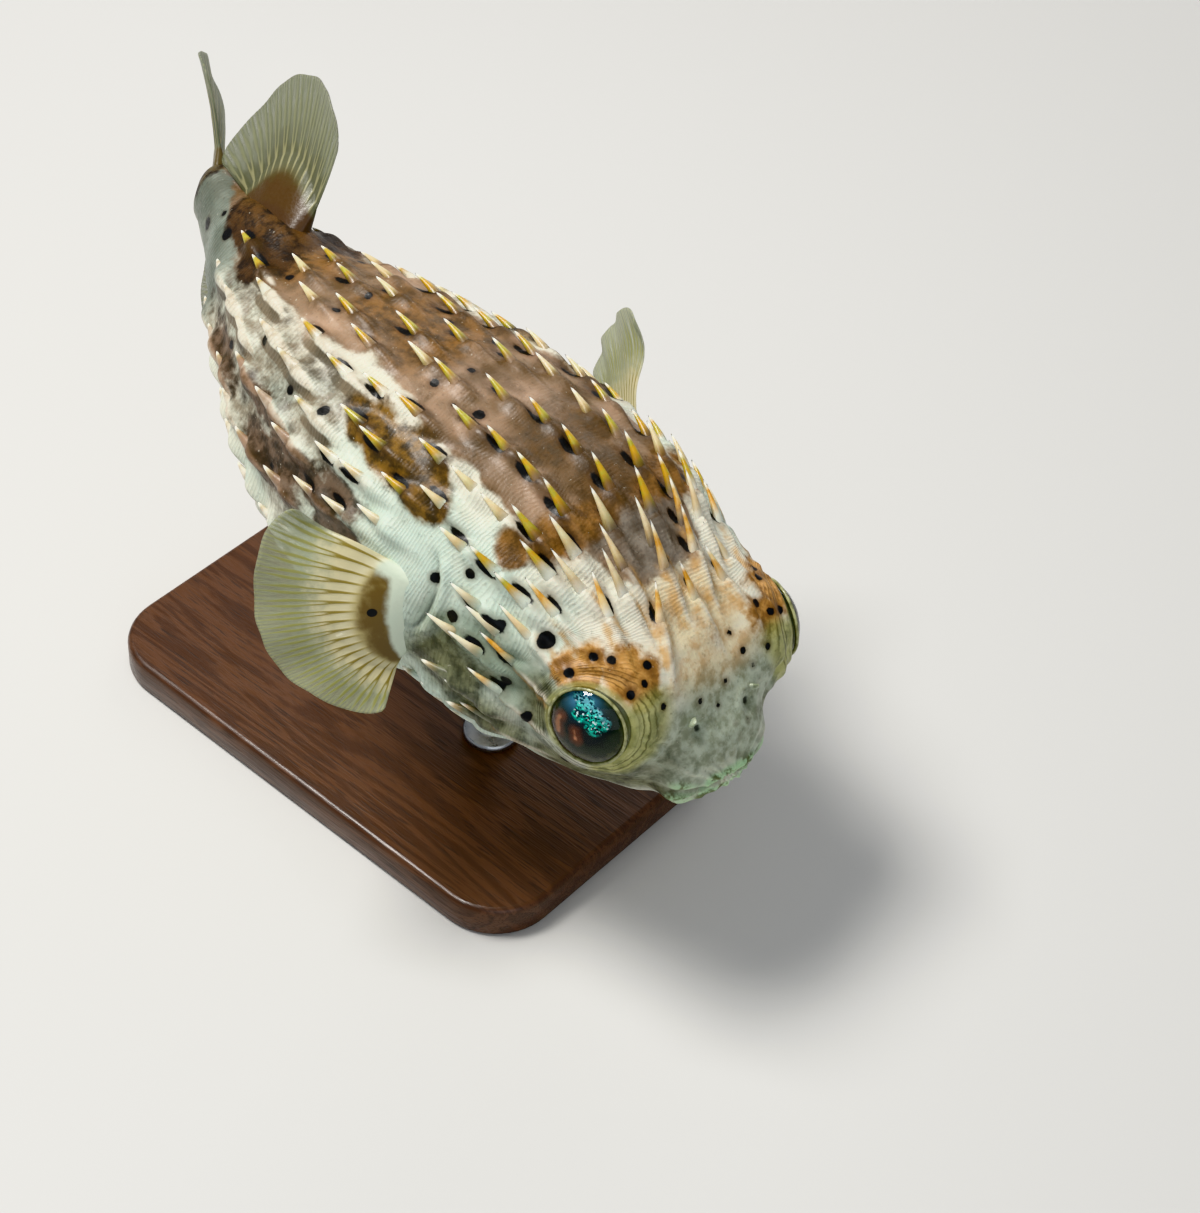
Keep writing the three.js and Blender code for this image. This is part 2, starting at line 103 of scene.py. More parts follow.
midline_s = np.arange(-2, BODY_LENGTH + 6)
midline_x = -np.cumsum(np.cos(heading(midline_s - 0.5)))
midline_y = np.cumsum(np.sin(heading(midline_s - 0.5)))
midline_x -= midline_x[2]
midline_y -= midline_y[2 + TAIL_BEND_FROM]


# The head is also rolled a little, its left side up, about a line just below the midline.
HEAD_ROLL, HEAD_ROLL_FROM, HEAD_ROLL_AXIS = 0.11, 85, -2


def head_roll(s):
    return HEAD_ROLL * np.clip((HEAD_ROLL_FROM - np.asarray(s, float)) / HEAD_ROLL_FROM, 0, 1)


def place(s, y, z):
    """A point beside the midline: y to the left of it, z above it."""
    s, y, z = np.broadcast_arrays(*(np.asarray(v, float) for v in (s, y, z)))
    angle, roll = heading(s), head_roll(s)
    over = z - HEAD_ROLL_AXIS
    left = y * np.cos(roll) - over * np.sin(roll)
    up = over * np.cos(roll) + y * np.sin(roll) + HEAD_ROLL_AXIS
    x = np.interp(s, midline_s, midline_x) + np.sin(angle) * left
    return np.stack([x, np.interp(s, midline_s, midline_y) + np.cos(angle) * left, up], -1)


def bell(distance, spread, power=2):
    """1 in the middle, falling softly to 0 past the spread."""
    return np.exp(-np.abs(distance / spread) ** power)


def signed_power(value, power):
    return np.sign(value) * np.abs(value) ** power


def unit(vectors):
    length = np.linalg.norm(vectors, axis=-1, keepdims=True)
    return vectors / np.maximum(length, 1e-9)


# Each eye sits in a flat ring that the skin rises to. Side is -1 right, 1 left.
EYE_S, EYE_Y, EYE_Z = 21.2, 28.2, 3.2
EYE_RADIUS, EYE_DEPTH = 9.4, 6
EYE_FORWARD, EYE_UP = 0.3, 0.18
RIM_HEIGHT, RIM_SPREAD = 2.5, 14.5
SIDES = {"right": -1, "left": 1}


head_angle, head_tilt = heading(EYE_S), head_roll(EYE_S)
head_forward = np.array([np.cos(head_angle), -np.sin(head_angle), 0])
head_left = np.array([-head_forward[1], head_forward[0], np.tan(head_tilt)]) * np.cos(head_tilt)
head_up = np.cross(head_forward, head_left)


def eye_seat(side):
    axis = unit(EYE_FORWARD * head_forward + side * head_left + EYE_UP * head_up)
    return place(EYE_S, side * EYE_Y, EYE_Z), axis


eye_seats = {side: eye_seat(side) for side in SIDES.values()}


def eye_offsets(points, side):
    """Height along an eye's axis, and distance from that axis."""
    centre, axis = eye_seats[side]
    offset = points - centre
    height = offset @ axis
    return height, np.linalg.norm(offset - height[..., None] * axis, axis=-1)


LIP_S, LIP_HEIGHT, LIP_SPREAD = 2.8, 2.2, 2.8


def round_end(s):
    nose = 1 - np.clip(s / NOSE_ROUND, 0, 1)
    tail = np.clip((s - BODY_LENGTH + TAIL_ROUND) / (TAIL_ROUND + 1), 0, 1)
    return np.sqrt(1 - nose**2.2) * np.sqrt(1 - tail * tail)


def section(s, phi, grow=0.0):
    """How far a point of the surface lies left of the midline and above it."""
    close = round_end(s)
    more = grow + LIP_HEIGHT * bell(s - LIP_S, LIP_SPREAD) * close
    middle = (back_height(s) + belly_height(s)) / 2
    high = (back_height(s) - belly_height(s)) / 2 * close + more
    wide = half_width(s) * close + more
    across = -signed_power(np.sin(phi), 2 / SECTION_POWER) * wide
    return across, middle + high * signed_power(np.cos(phi), 2 / SECTION_POWER)


def surface(s, phi, grow=0.0):
    """Points of the body's surface, raised by grow."""
    s, phi = np.broadcast_arrays(np.asarray(s, float), np.asarray(phi, float))
    across, up = section(s, phi, grow)
    points = place(s, across, up)
    for side in SIDES.values():
        height, away = eye_offsets(points, side)
        near = (s < HEAD_END) & (across * side >= 0)
        lift = near * (RIM_HEIGHT - height) * bell(away, RIM_SPREAD, 4)
        points = points + lift[..., None] * eye_seats[side][1]
    return points


# The attitude on the stand: nose down, left side down, the middle of the belly over the base.
NOSE_DOWN = LEFT_DOWN = math.radians(11)
MIDDLE_S = 103
BELLY_CLEARANCE = 44
base_low, base_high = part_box("stand_base")
attitude = np.array(Matrix.Rotation(NOSE_DOWN, 3, "Y") @ Matrix.Rotation(-LEFT_DOWN, 3, "X"))
middle = attitude @ place(MIDDLE_S, 0, 0)
lowest = attitude @ place(MIDDLE_S, 0, belly_height(MIDDLE_S))
set_down = np.array([-middle[0], -middle[1], base_high.z / MM + BELLY_CLEARANCE - lowest[2]])


def on_stand(points):
    """Points of the fish, in metres, as it hangs on its stand."""
    return (np.asarray(points) @ attitude.T + set_down) * MM


# ---- The spines' places ----
# Each spine stands in a skin sheath, in rows round the body that are staggered like tiles.
# They are longest on the forehead, and the lips, eyes, fins and stand are kept clear of them.

SPINE_ROWS = [24.5, 30.5, 37, 44.5, 52.5, 61, 71.5, 81, 91, 101, 111, 121, 131, 140.5, 149.5, 158]
SPINE_JITTER = 1.8
SPINE_LIFT, SPINE_SIDE_LIFT = 0.3, 0.17
EYE_CLEAR = 17
ROD_STATIONS = [78, 128]
spine_length = through_points((20, 11), (34, 14), (46, 13), (64, 10), (90, 10.5), (130, 10), (165, 7.5))
spine_spacing = through_points((20, 7.6), (42, 8.2), (60, 10.4), (165, 10.4))


def smooth(value, low, high):
    """0 below low and 1 above high, with a soft climb between."""
    t = np.clip((value - low) / (high - low), 0, 1)
    return t * t * (3 - 2 * t)


def girth(s):
    """Mean radius of a section."""
    return (half_width(s) + (back_height(s) - belly_height(s)) / 2) / 2


def surface_frame(s, phi):
    """Directions along the skin to the tail and out of the skin, and the point itself."""
    back = unit(surface(s + 0.5, phi) - surface(max(s - 0.5, 0), phi))
    out = unit(np.cross(back, surface(s, phi + 0.02) - surface(s, phi - 0.02)))
    return back, out, surface(s, phi)


def scatter(row, column, salt):
    """A repeatable number between -1 and 1 for each row and place."""
    value = math.sin(row * 12.9898 + column * 78.233 + salt * 37.719) * 43758.5453
    return 2 * (value - math.floor(value)) - 1


def clear_of_spines(s, phi, point):
    side = abs(phi)
    near_eye = np.linalg.norm(point - eye_seats[-1 if phi > 0 else 1][0]) < EYE_CLEAR
    snout = s < (40 if side > 2 else 24) or (s < 33 and 1.15 < side < 1.9)
    pectoral = 62 < s < 82 and 1.1 < side < 2.25
    fins = s > 144 and (side < 0.5 or side > 2.75)
    saddles = side > 2.55 and any(rod - s < 19 and s - rod < 10 for rod in ROD_STATIONS)
    return near_eye or snout or pectoral or fins or saddles


def sheathed(s, side):
    """1 where skin wraps a spine almost to its tip: low on the flanks and far back."""
    rear = smooth(s, 96, 118) * smooth(side, 0.55, 0.8)
    low = smooth(side, 1.5, 1.75)
    return float(np.maximum(rear, low))


spines = []
for row, row_s in enumerate(SPINE_ROWS):
    count = round(2 * math.pi * float(girth(row_s)) / float(spine_spacing(row_s)))
    for column in range(count):
        s = row_s + scatter(row, column, 1) * SPINE_JITTER
        turn = (column + 0.5 * (row % 2) + 0.25 + 0.19 * scatter(row, column, 2)) / count
        phi = turn * 2 * math.pi - math.pi
        back, out, root = surface_frame(s, phi)
        if clear_of_spines(s, phi, root):
            continue
        flat = abs(math.sin(phi))
        lift = SPINE_LIFT + (SPINE_SIDE_LIFT - SPINE_LIFT) * flat + 0.04 * scatter(row, column, 3)
        under = (1 - math.cos(phi)) / 2
        spines.append({
            "s": s, "phi": phi, "root": root, "back": back, "out": out, "lift": lift,
            "across": np.cross(out, back), "chance": scatter(row, column, 4),
            "length": float(spine_length(s)) * (1 - 0.3 * under * under),
            "sheathed": sheathed(s, abs(phi)),
        })


# ---- The markings ----
# Brown saddles and blotches lie over a pale ground, as the species wears them: over each eye,
# across the nape, over each pectoral fin, along the back and round the dorsal fin. A patch is
# a few ovals: station, angle from the back, half length and half width. All lie on both sides.

PATCHES = {
    "tan": [(26, 0, 9, 9), (17, 0, 6, 6)],
    "grey": [(41, 0, 8, 8.5), (48, 0.2, 5, 7)],
    "dark": [(58, 0, 8, 8), (71, 0.1, 9, 7), (80, 0.5, 6, 3)],
    "pink": [(66, 0.46, 8, 4.5), (90, 0.3, 8, 7), (134, 0.45, 15, 5), (86, 0, 5, 4)],
    "golden": [(108, 0.1, 8, 9), (120, 0.1, 11, 7), (147, 0.15, 8, 8)],
    "brow": [(20.5, 0.46, 3.4, 3.6), (24, 0.64, 4.6, 5.4), (28.5, 0.86, 4.4, 5.2), (32.5, 1.04, 3, 3.6)],
    "nape": [(52.5, 0.5, 6, 8.5), (51, 0.24, 4, 6), (57, 0.78, 4, 4)],
    "flank": [(81, 0.95, 8, 5), (90, 0.84, 13, 8.5), (101, 0.8, 7, 7)],
    "saddle": [(166, 0, 13, 13), (156, 0.5, 8, 7), (154, 0.75, 4, 4)],
    "streak": [(97, 1.32, 9, 3.6), (108, 1.42, 13, 4.6), (117, 1.6, 12, 4.4), (93, 1.55, 9, 4.4),
               (128, 1.36, 9, 2.4), (146, 1.6, 12, 3)],
    "olive": [(57, 1.78, 12, 8.5), (44, 1.9, 12, 7), (24, 1.95, 10, 7), (12, 1.95, 7, 5), (32, 1.42, 5, 6)],
    "cheek": [(44, 1.42, 14, 7), (56, 1.55, 10, 5)],
    "snout": [(6, 0.3, 8, 13), (10, 1.2, 7, 9), (6, 1.8, 8, 10)],
    "muzzle": [(9.5, 1.5, 4, 4.5), (7, 1.9, 5, 5), (15, 1.8, 6, 4), (7, 1.15, 2.4, 3.5)],
}
# Half the angle that the brown mantle of the back covers, along the body.
mantle_angle = through_points((30, 0.02), (37, 0.3), (46, 0.4), (52, 0.58), (66, 0.62), (80, 0.6),
                              (92, 0.58), (102, 0.46), (112, 0.43), (120, 0.55), (138, 0.62), (150, 0.78),
                              (164, 0.85), (176, 0.5), (188, 0.1))

# Round black spots: station, angle and radius. Those well off the back come on both sides.
SPOTS = [
    (39, 1.04, 2), (42, 1.52, 1.5), (34, 1.59, 1.3), (48.8, 1.2, 1.3), (61, 1.1, 1.3), (59.5, 1.42, 1.5),
    (67.5, 1.3, 1.4), (29.5, 0.79, 1.1), (26.8, 0.66, 1.1), (22, 0.41, 1.1), (20, 0.47, 1), (20, 0.6, 1.1),
    (31, 1.03, 1.2), (14.7, 0.43, 0.9), (11.5, 0.17, 0.8), (9, 0.02, 0.7), (15.5, -0.18, 0.9),
    (19, -0.12, 0.8), (12, -0.03, 0.7), (5, -0.09, 0.5), (4.3, -0.34, 0.5), (12.6, -0.31, 0.6),
    (111, 0.97, 1.4), (121.5, 1.08, 1.3), (135, 1, 1.6), (105, 1.2, 1.1), (117, 1.6, 1), (125.5, 1.7, 1.1),
    (144.5, 1.45, 1.2), (171, 0.88, 1.7), (182, 1.4, 1.7), (101, -0.24, 1.2), (96.7, 0.06, 1.1),
    (98.5, 0.31, 1.2), (86, 0.28, 1.5), (91.5, 0.34, 0.8), (129, 0.06, 1.1), (129, 0.35, 1.1),
    (146, 0.42, 1.2), (66, 0.05, 1), (112, -0.15, 1), (178, 0.75, 1), (24, 1.8, 1),
]
MIRRORED_FROM, OFF_SPOTS = 0.4, -9.0


def wobble(points, size):
    """A slow wavy number, about -1 to 1, for each point."""
    x, y, z = (np.moveaxis(points, -1, 0) / size) * 2
    waves = np.sin(x + 1.7 * np.sin(0.9 * y + 1)) + np.sin(1.3 * y + 1.9 * np.sin(0.7 * z + 2))
    return (waves + np.sin(1.1 * z + 1.6 * np.sin(1.2 * x + 3))) / 3


def patch_depth(s, phi, ovals):
    """How far inside a patch's edge a point lies, in millimetres."""
    side = np.abs(phi)
    depths = []
    for at_s, at_phi, long, wide in ovals:
        across = (side - at_phi) * girth(at_s)
        reach = np.hypot((s - at_s) / long, across / wide)
        depths.append((1 - reach) * min(long, wide))
    return np.max(depths, axis=0)


def spot_depth(s, phi, points):
    """How far inside the edge of one of the round black spots a point lies, in millimetres."""
    depth = np.full(np.shape(s), OFF_SPOTS)
    for at_s, at_phi, radius in SPOTS:
        for side in (1, -1) if abs(at_phi) > MIRRORED_FROM else (1,):
            centre = surface(at_s, at_phi * side)
            near = np.linalg.norm(points - centre, axis=-1)
            depth = np.maximum(depth, radius - near)
    return depth


def markings(s, phi, points):
    """Everything that skin and spines need to know to be painted alike."""
    edge = 1.3 * wobble(points, 7) + 0.7 * wobble(points, 3)
    found = {name: patch_depth(s, phi, ovals) + edge for name, ovals in PATCHES.items()}
    found["mantle"] = (mantle_angle(s) - np.abs(phi)) * girth(s) + 1.3 * edge
    found["mantle"] = np.minimum(found["mantle"], (s - 34) * 0.8 + edge)
    # The whole tail is greyed: partly its own grey-green, partly painted shade.
    found["peduncle"] = (s - 158) * 0.7 + edge
    # The sides are painted mint, most near the pectoral fins: partly the skin's faint tint, partly painted
    # shade.
    found["mint_shade"] = 8 * smooth(np.abs(phi), 0.6, 1) * (0.4 + 0.6 * bell(s - 70, 34, 4)) - 3.5 + 1.6 * edge
    found["under"] = (np.abs(phi) - 2.35) * girth(s)
    found["collar"] = s - 194 + 0.8 * edge
    return found


# ---- The skin ----
# One slack, scaleless skin covers head, trunk and tail. It rises in a fleshy tent at the root
# of every spine, in a ring round each eye and in beaded lips, and sinks at the mouth and gills.
# It is a fine grid of points, laid just under the body's surface and pushed in and out.

SKIN_DEPTH = 0.45
SKIN_COLUMNS = 306
NOSE_RINGS = 24
ROW_STEP_HEAD, ROW_STEP_BODY = 0.56, 0.8
TENT_HEIGHT, TENT_WIDTH, TENT_FRONT, TENT_BACK = 2.1, 2.2, 6.2, 3.4
FOREHEAD_FRONT, FOREHEAD_END = 9.5, 42
TENT_REACH = 13
# The black mark beside and behind each spine, partly the species' dark mark at its root and partly painted
# shadow of the spine: half length and half width on the body and on the forehead, and how far it lies behind
# the root and to one side.
BLACK_LONG, BLACK_WIDE = 3.1, 0.92
BLACK_LONG_HEAD, BLACK_WIDE_HEAD = 2.6, 0.78
BLACK_BEHIND, BLACK_BESIDE = 5.4, 1.15
MOUTH_Z, MOUTH_HALF, MOUTH_DEPTH, MOUTH_GAP = -11, 6.8, 3.6, 0.75
MAP_SIDE = 245


def mesh_piece(name, points, faces, uvs=None):
    """A smooth-shaded mesh from points in metres and faces of any number of corners."""
    mesh = bpy.data.meshes.new(name)
    mesh.from_pydata(np.asarray(points).tolist(), [], faces)
    mesh.shade_smooth()
    if uvs is not None:
        layer = mesh.uv_layers.new(name="OFBake")
        layer.data.foreach_set("uv", np.asarray(uvs, np.float32).ravel())
    piece = bpy.data.objects.new(name, mesh)
    bpy.context.scene.collection.objects.link(piece)
    return piece


def carry(piece, values):
    """Keeps named numbers at the piece's points, for its material to read."""
    for name, numbers in values.items():
        layer = piece.data.attributes.new(name, "FLOAT", "POINT")
        layer.data.foreach_set("value", np.asarray(numbers, np.float32).ravel())


def tube_faces(rows, columns):
    """Quads of a closed tube, row by row."""
    i, j = np.meshgrid(np.arange(rows - 1), np.arange(columns), indexing="ij")
    k = (j + 1) % columns
    quads = np.stack([i * columns + j, (i + 1) * columns + j, (i + 1) * columns + k, i * columns + k], -1)
    return quads.reshape(-1, 4)


def point_faces(ring, point):
    """Triangles from a ring to one more point. They face the way that the ring turns."""
    return np.stack([ring, np.roll(ring, -1), np.full(len(ring), point)], -1).tolist()


closing = np.linspace(0.1, 1, NOSE_RINGS)
nose_rows = NOSE_ROUND * (1 - (1 - closing**2) ** (1 / 2.2))
head_rows = np.arange(NOSE_ROUND + ROW_STEP_HEAD, HEAD_END, ROW_STEP_HEAD)
body_rows = np.arange(HEAD_END, BODY_LENGTH - TAIL_ROUND, ROW_STEP_BODY)
tail_rows = BODY_LENGTH - TAIL_ROUND + (TAIL_ROUND + 1) * np.sin(np.linspace(0, 0.97, 10) * math.pi / 2)
rows = np.concatenate([nose_rows, head_rows, body_rows, tail_rows])
columns = (np.arange(SKIN_COLUMNS) + 0.5) / SKIN_COLUMNS * 2 * math.pi - math.pi
grid_s, grid_phi = np.meshgrid(rows, columns, indexing="ij")
ground = surface(grid_s, grid_phi, -SKIN_DEPTH)
along_rows = np.gradient(ground, axis=0)
along_columns = np.roll(ground, -1, 1) - np.roll(ground, 1, 1)
normals = unit(np.cross(along_rows, along_columns))

rise = (0.3 * wobble(ground, 9) + 0.14 * wobble(ground, 4)) * smooth(grid_s, 6, 20)

# Ripples run round the body and bend in arcs round the spines. Each spine also brings a tent of
# flesh before it, a pale lobe on the tent, a painted shadow below it, gilding if it is on the
# forehead, a dark halo, and a black mark behind it that is partly its own dark mark and partly
# painted shadow of the spine. Here u runs back from a spine's root and v beside it.
ripple = grid_s + 1.2 * wobble(ground, 14) + 0.5 * wobble(ground, 6)
spot = spot_depth(grid_s, grid_phi, ground)
tents, lobes, shadows, gilt, halo = (np.zeros_like(rise) for _ in range(5))


def keep_most(whole, near, part):
    """Adds what one spine brings, where it is more than the others bring."""
    whole[near] = np.maximum(whole[near], part)


for spine in spines:
    near = np.abs(grid_s - spine["s"]) < TENT_REACH + 1
    offset = ground[near] - spine["root"]
    u, v = offset @ spine["back"], offset @ spine["across"]
    away = np.linalg.norm(offset, axis=-1)
    in_reach = away < TENT_REACH
    stout = 1 + 0.3 * spine["sheathed"]
    forehead = spine["s"] < FOREHEAD_END
    reach = FOREHEAD_FRONT if forehead else TENT_FRONT
    front = bell(u - 1, np.where(u < 1, reach, TENT_BACK * stout))
    narrowing = np.where(u < 0, np.maximum(1 + 0.06 * u, 0.5), 1)
    wide = TENT_WIDTH * stout * (0.8 if forehead else 1) * narrowing
    tent = TENT_HEIGHT * (1 + 0.25 * spine["sheathed"]) * front * bell(v, wide) * in_reach
    keep_most(tents, near, tent)
    ripple[near] += 2.6 * bell(away, 5)
    downward = v * math.copysign(1, spine["phi"])
    if forehead:
        lobe = bell(u + 4.5, 8, 4) * bell(v, 0.8)
        golden = bell(u + 4, 7.5, 4) * bell(v - math.copysign(1.4, spine["chance"]), 1)
        keep_most(gilt, near, golden * in_reach)
    else:
        lobe_width = np.interp(u, (-6, -1.5, 2, 6), (0.5, 1.3, 1.6, 0.8))
        lobe = bell(u, 5.6, 5) * bell(v - 0.3 * math.sin(spine["s"]), lobe_width, 3)
    keep_most(lobes, near, lobe * in_reach)
    keep_most(shadows, near, bell(u, 7, 4) * bell(downward - 2.2 - 0.06 * u, 1.4) * in_reach)
    keep_most(halo, near, bell(np.hypot((u - 1) / 1.7, v), 3))
    by_gill = 56 < spine["s"] < 72 and 1.1 < abs(spine["phi"]) < 2
    # A black mark beside and behind most spines: partly their own dark mark, partly painted shadow of the
    # spine.
    if spine["chance"] > (0.1 if forehead else -0.7) and spine["sheathed"] < 0.5 and not by_gill:
        long = BLACK_LONG_HEAD if forehead else BLACK_LONG
        wide = BLACK_WIDE_HEAD if forehead else BLACK_WIDE
        off = v - math.copysign(BLACK_BESIDE, scatter(spine["s"], spine["phi"], 5) - 0.2)
        oval = np.hypot((u - BLACK_BEHIND) / long, off / wide)
        keep_most(spot, near, np.where(in_reach, (1 - oval) * wide, OFF_SPOTS))
rise += tents

# The rear flanks are painted darker between the tents: partly a darker brown-grey skin between
# the sheaths, partly painted shadow on the lower side of each tent.
flank_side = np.abs(grid_phi)
shade = smooth(grid_s, 92, 112) * (1 - smooth(grid_s, 155, 168))
shade *= smooth(flank_side, 0.5, 0.75) * (1 - smooth(flank_side, 1.7, 2.1))
shade *= (1 - 0.7 * lobes) * np.maximum(0.5, 1.2 * shadows)

# Round each eye: a furrow, and wrinkles that run round it in front. The skin ends under the lid.
LID_RADIUS, LID_HEIGHT, LID_BEAD = 8.9, 2.25, 0.38
# Each furrow or fold round the eye: its distance from the eye's axis, its height and its width.
EYE_FOLDS = [(10.3, 0.3, 0.7), (11.3, -0.35, 0.6), (12.6, 0.35, 0.8), (13.9, -0.2, 0.6), (15.1, 0.25, 0.8)]
eye_ripple, lid, eye_front = (np.zeros_like(rise) for _ in range(3))
for side in SIDES.values():
    height, away = eye_offsets(ground, side)
    here = (grid_s < HEAD_END) & (ground[..., 1] * side > 0)
    away = np.where(here, away, 99)
    rise += sum(high * bell(away - at, width) for at, high, width in EYE_FOLDS)
    rise -= 6 * (1 - smooth(away, 7.6, 8.7))
    near_eye = bell(away, 16.5, 8)
    eye_ripple = np.maximum(eye_ripple, bell(away, 15, 8))
    ripple = ripple * (1 - near_eye) + 1.4 * away * near_eye
    lid = np.maximum(lid, bell(away - 9.3, 1.3))
    eye_front = np.maximum(eye_front, bell(away - 11, 4, 4) * smooth(22 - grid_s, 0, 6))

# The mouth: a slit that turns down at its corners, between lips with soft lobes.
left_of_middle, over_middle = section(grid_s, grid_phi, -SKIN_DEPTH)
mouth_level = over_middle - (MOUTH_Z - 0.022 * left_of_middle**2)
in_mouth = (grid_s < 7) * smooth(MOUTH_HALF + 1.2 - np.abs(left_of_middle), 0, 1.8)
slit = in_mouth * bell(mouth_level, MOUTH_GAP, 4)
lip_roll = in_mouth * bell(np.abs(mouth_level) - 2.4, 1.5)
scallops = np.cos(16 * grid_phi + 1.2 * np.sin(2 * grid_phi) + 0.6)
rise += 0.75 * lip_roll * (1 + 0.35 * np.cos(2 * math.pi * left_of_middle / 3.5)) - MOUTH_DEPTH * slit
lip_ring = bell(grid_s - 3.6, 2.8) * bell(mouth_level, 8, 4)
rise += 0.75 * lip_ring * scallops
rise -= 0.5 * bell(grid_s - 9.5, 1.8) * smooth(np.abs(grid_phi), 0.6, 1.2)
rise += 0.16 * bell(grid_s - 13, 6, 4) * np.sin(9 * grid_phi + 0.5 * grid_s)

# The gill slit, a short crescent ahead of the pectoral fin, and the fleshy pad of that fin.
GILL_S, GILL_PHI, GILL_HALF = 66, 1.42, 0.26
bow = (np.abs(grid_phi) - GILL_PHI) / GILL_HALF
gill_off = grid_s - (GILL_S + 3.2 * bow**2 - 1.2 * bow)
gill_reach = smooth(1.15 - np.abs(bow), 0, 0.35)
gill = gill_reach * bell(gill_off, 1.1, 2)
rise += gill_reach * (0.9 * bell(gill_off + 2.6, 1.4) - 0.2 * bell(gill_off - 2.4, 1.5)) - 1.3 * gill
PAD_S, PAD_PHI = 72, 1.72
pad = bell(grid_s - PAD_S, 5.5, 3) * bell((np.abs(grid_phi) - PAD_PHI) * girth(grid_s), 12.5, 3)
rise += 1.5 * pad

# Fleshy roots of the dorsal and anal fins, and the firm hem before the tail fin.
DORSAL_FROM, DORSAL_TO, ANAL_FROM, ANAL_TO = 156.5, 175, 158, 176
beside_back = np.abs(grid_phi) * girth(grid_s)
beside_belly = (math.pi - np.abs(grid_phi)) * girth(grid_s)
dorsal_root = bell(grid_s - (DORSAL_FROM + DORSAL_TO) / 2 - 1, 12.5, 4) * bell(beside_back, 6)
anal_root = bell(grid_s - (ANAL_FROM + ANAL_TO) / 2, 11.5, 4) * bell(beside_belly, 4.4)
rise += 3.2 * dorsal_root + 1.6 * anal_root + 0.5 * bell(grid_s - 194, 1.6)

# Shallow pits before the nostrils, and a soft fold from each down to the corner of the mouth.
NOSTRIL_S, NOSTRIL_PHI = 9.5, 0.4
pits = np.zeros_like(rise)
for side in SIDES.values():
    pit = np.linalg.norm(ground - surface(NOSTRIL_S - 1.9, -side * NOSTRIL_PHI), axis=-1)
    rise += 0.5 * bell(pit - 3, 1) - 1 * bell(pit, 1.9)
    pits = np.maximum(pits, bell(pit, 1.2))
fold_line = np.abs(grid_phi) - through_points((2, 1.5), (8, 0.95), (14, 0.85), (22, 0.9))(grid_s)
rise -= 0.6 * bell(fold_line * girth(grid_s), 1.2) * bell(grid_s - 9, 5, 4)

skin_points = ground + normals * rise[..., None]
row_count = len(rows)
all_points = np.vstack([skin_points.reshape(-1, 3), skin_points[0].mean(0), skin_points[-1].mean(0)])
faces = tube_faces(row_count, SKIN_COLUMNS).tolist()
first, last = row_count * SKIN_COLUMNS, row_count * SKIN_COLUMNS + 1
ring = np.arange(SKIN_COLUMNS)
after = (ring + 1) % SKIN_COLUMNS
faces += np.stack([np.full(SKIN_COLUMNS, first), ring, after], -1).tolist()
tail_ring = first - SKIN_COLUMNS
faces += np.stack([np.full(SKIN_COLUMNS, last), tail_ring + after, tail_ring + ring], -1).tolist()

# The unwrap: length along the skin up the map, distance round the body across it.
run = np.linalg.norm(np.diff(ground, axis=0), axis=-1).mean(1)
run = np.concatenate([[0], np.cumsum(run)]) + 6


def unwrap(s, phi):
    up = np.interp(s, rows, run)
    radius = girth(s) * np.maximum(round_end(s), 0.02)
    return np.stack([0.5 + phi * radius / MAP_SIDE, up / MAP_SIDE], -1)


edges = np.arange(SKIN_COLUMNS + 1) / SKIN_COLUMNS * 2 * math.pi - math.pi
shifted = unwrap(*np.meshgrid(rows, edges + 0.5 * (edges[1] - edges[0]), indexing="ij"))
quad_map = np.stack([shifted[:-1, :-1], shifted[1:, :-1], shifted[1:, 1:], shifted[:-1, 1:]], 2)
nose_point, tail_point = unwrap(rows[0], 0.0), unwrap(rows[-1], 0.0)
nose_map = np.stack([np.tile(nose_point, (SKIN_COLUMNS, 1)), shifted[0, :-1], shifted[0, 1:]], 1)
tail_map = np.stack([np.tile(tail_point, (SKIN_COLUMNS, 1)), shifted[-1, 1:], shifted[-1, :-1]], 1)
skin_map = np.concatenate([part.reshape(-1, 2) for part in (quad_map, nose_map, tail_map)])

skin = mesh_piece("skin", on_stand(all_points), faces, skin_map)
seen = markings(grid_s, grid_phi, ground)
BROWN_PATCHES = ("mantle", "golden", "saddle", "nape", "flank", "brow", "streak")
browns = np.max([seen[name] for name in BROWN_PATCHES], axis=0)
pale_wrinkles = (0.3 + 0.4 * smooth(-browns, -1, 2)) * smooth(grid_s, 18, 30)
wrinkled = np.maximum(eye_ripple * (1 - lid), pale_wrinkles) * (1 - smooth(spot, -1.2, -0.4))


def lobed_rear(s):
    """How boldly the pale lobes of the tents show along the rear of the body."""
    return smooth(s, 80, 98) * (1 - 0.45 * bell(s - 98, 18, 4))


lobed = lobed_rear(grid_s) * (1 - smooth(grid_s, 154, 164))
lobed *= smooth(flank_side, 0.5, 0.7) * (1 - smooth(flank_side, 1.8, 2.1))
lobed = np.maximum(lobed, 0.75 * (1 - smooth(grid_s, 36, 46)))
# The gill slit, the mouth's slit and the nostril pits are marked for painted shade, nearly black.
seen.update(
    spot=spot, ripple=ripple, lid=lid, wrinkled=wrinkled, shade=shade, dorsalroot=dorsal_root,
    gill=np.max([0.6 * gill, slit, pits], axis=0), lips=lip_roll + lip_ring * (0.8 + 0.3 * scallops),
    lobes=lobes * lobed, gilt=gilt, rings=eye_ripple * (1 - lid), eyefront=eye_front,
    halo=halo * smooth(browns, -1, 1.5) * (grid_s > 44),
)
carry(skin, {name: np.append(v.ravel(), [v[0].mean(), v[-1].mean()]) for name, v in seen.items()})


def colour(code):
    """The light of a screen colour's code."""
    parts = [int(code[i:i + 2], 16) / 255 for i in (0, 2, 4)]
    return [c / 12.92 if c < 0.04045 else ((c + 0.055) / 1.055) ** 2.4 for c in parts] + [1.0]


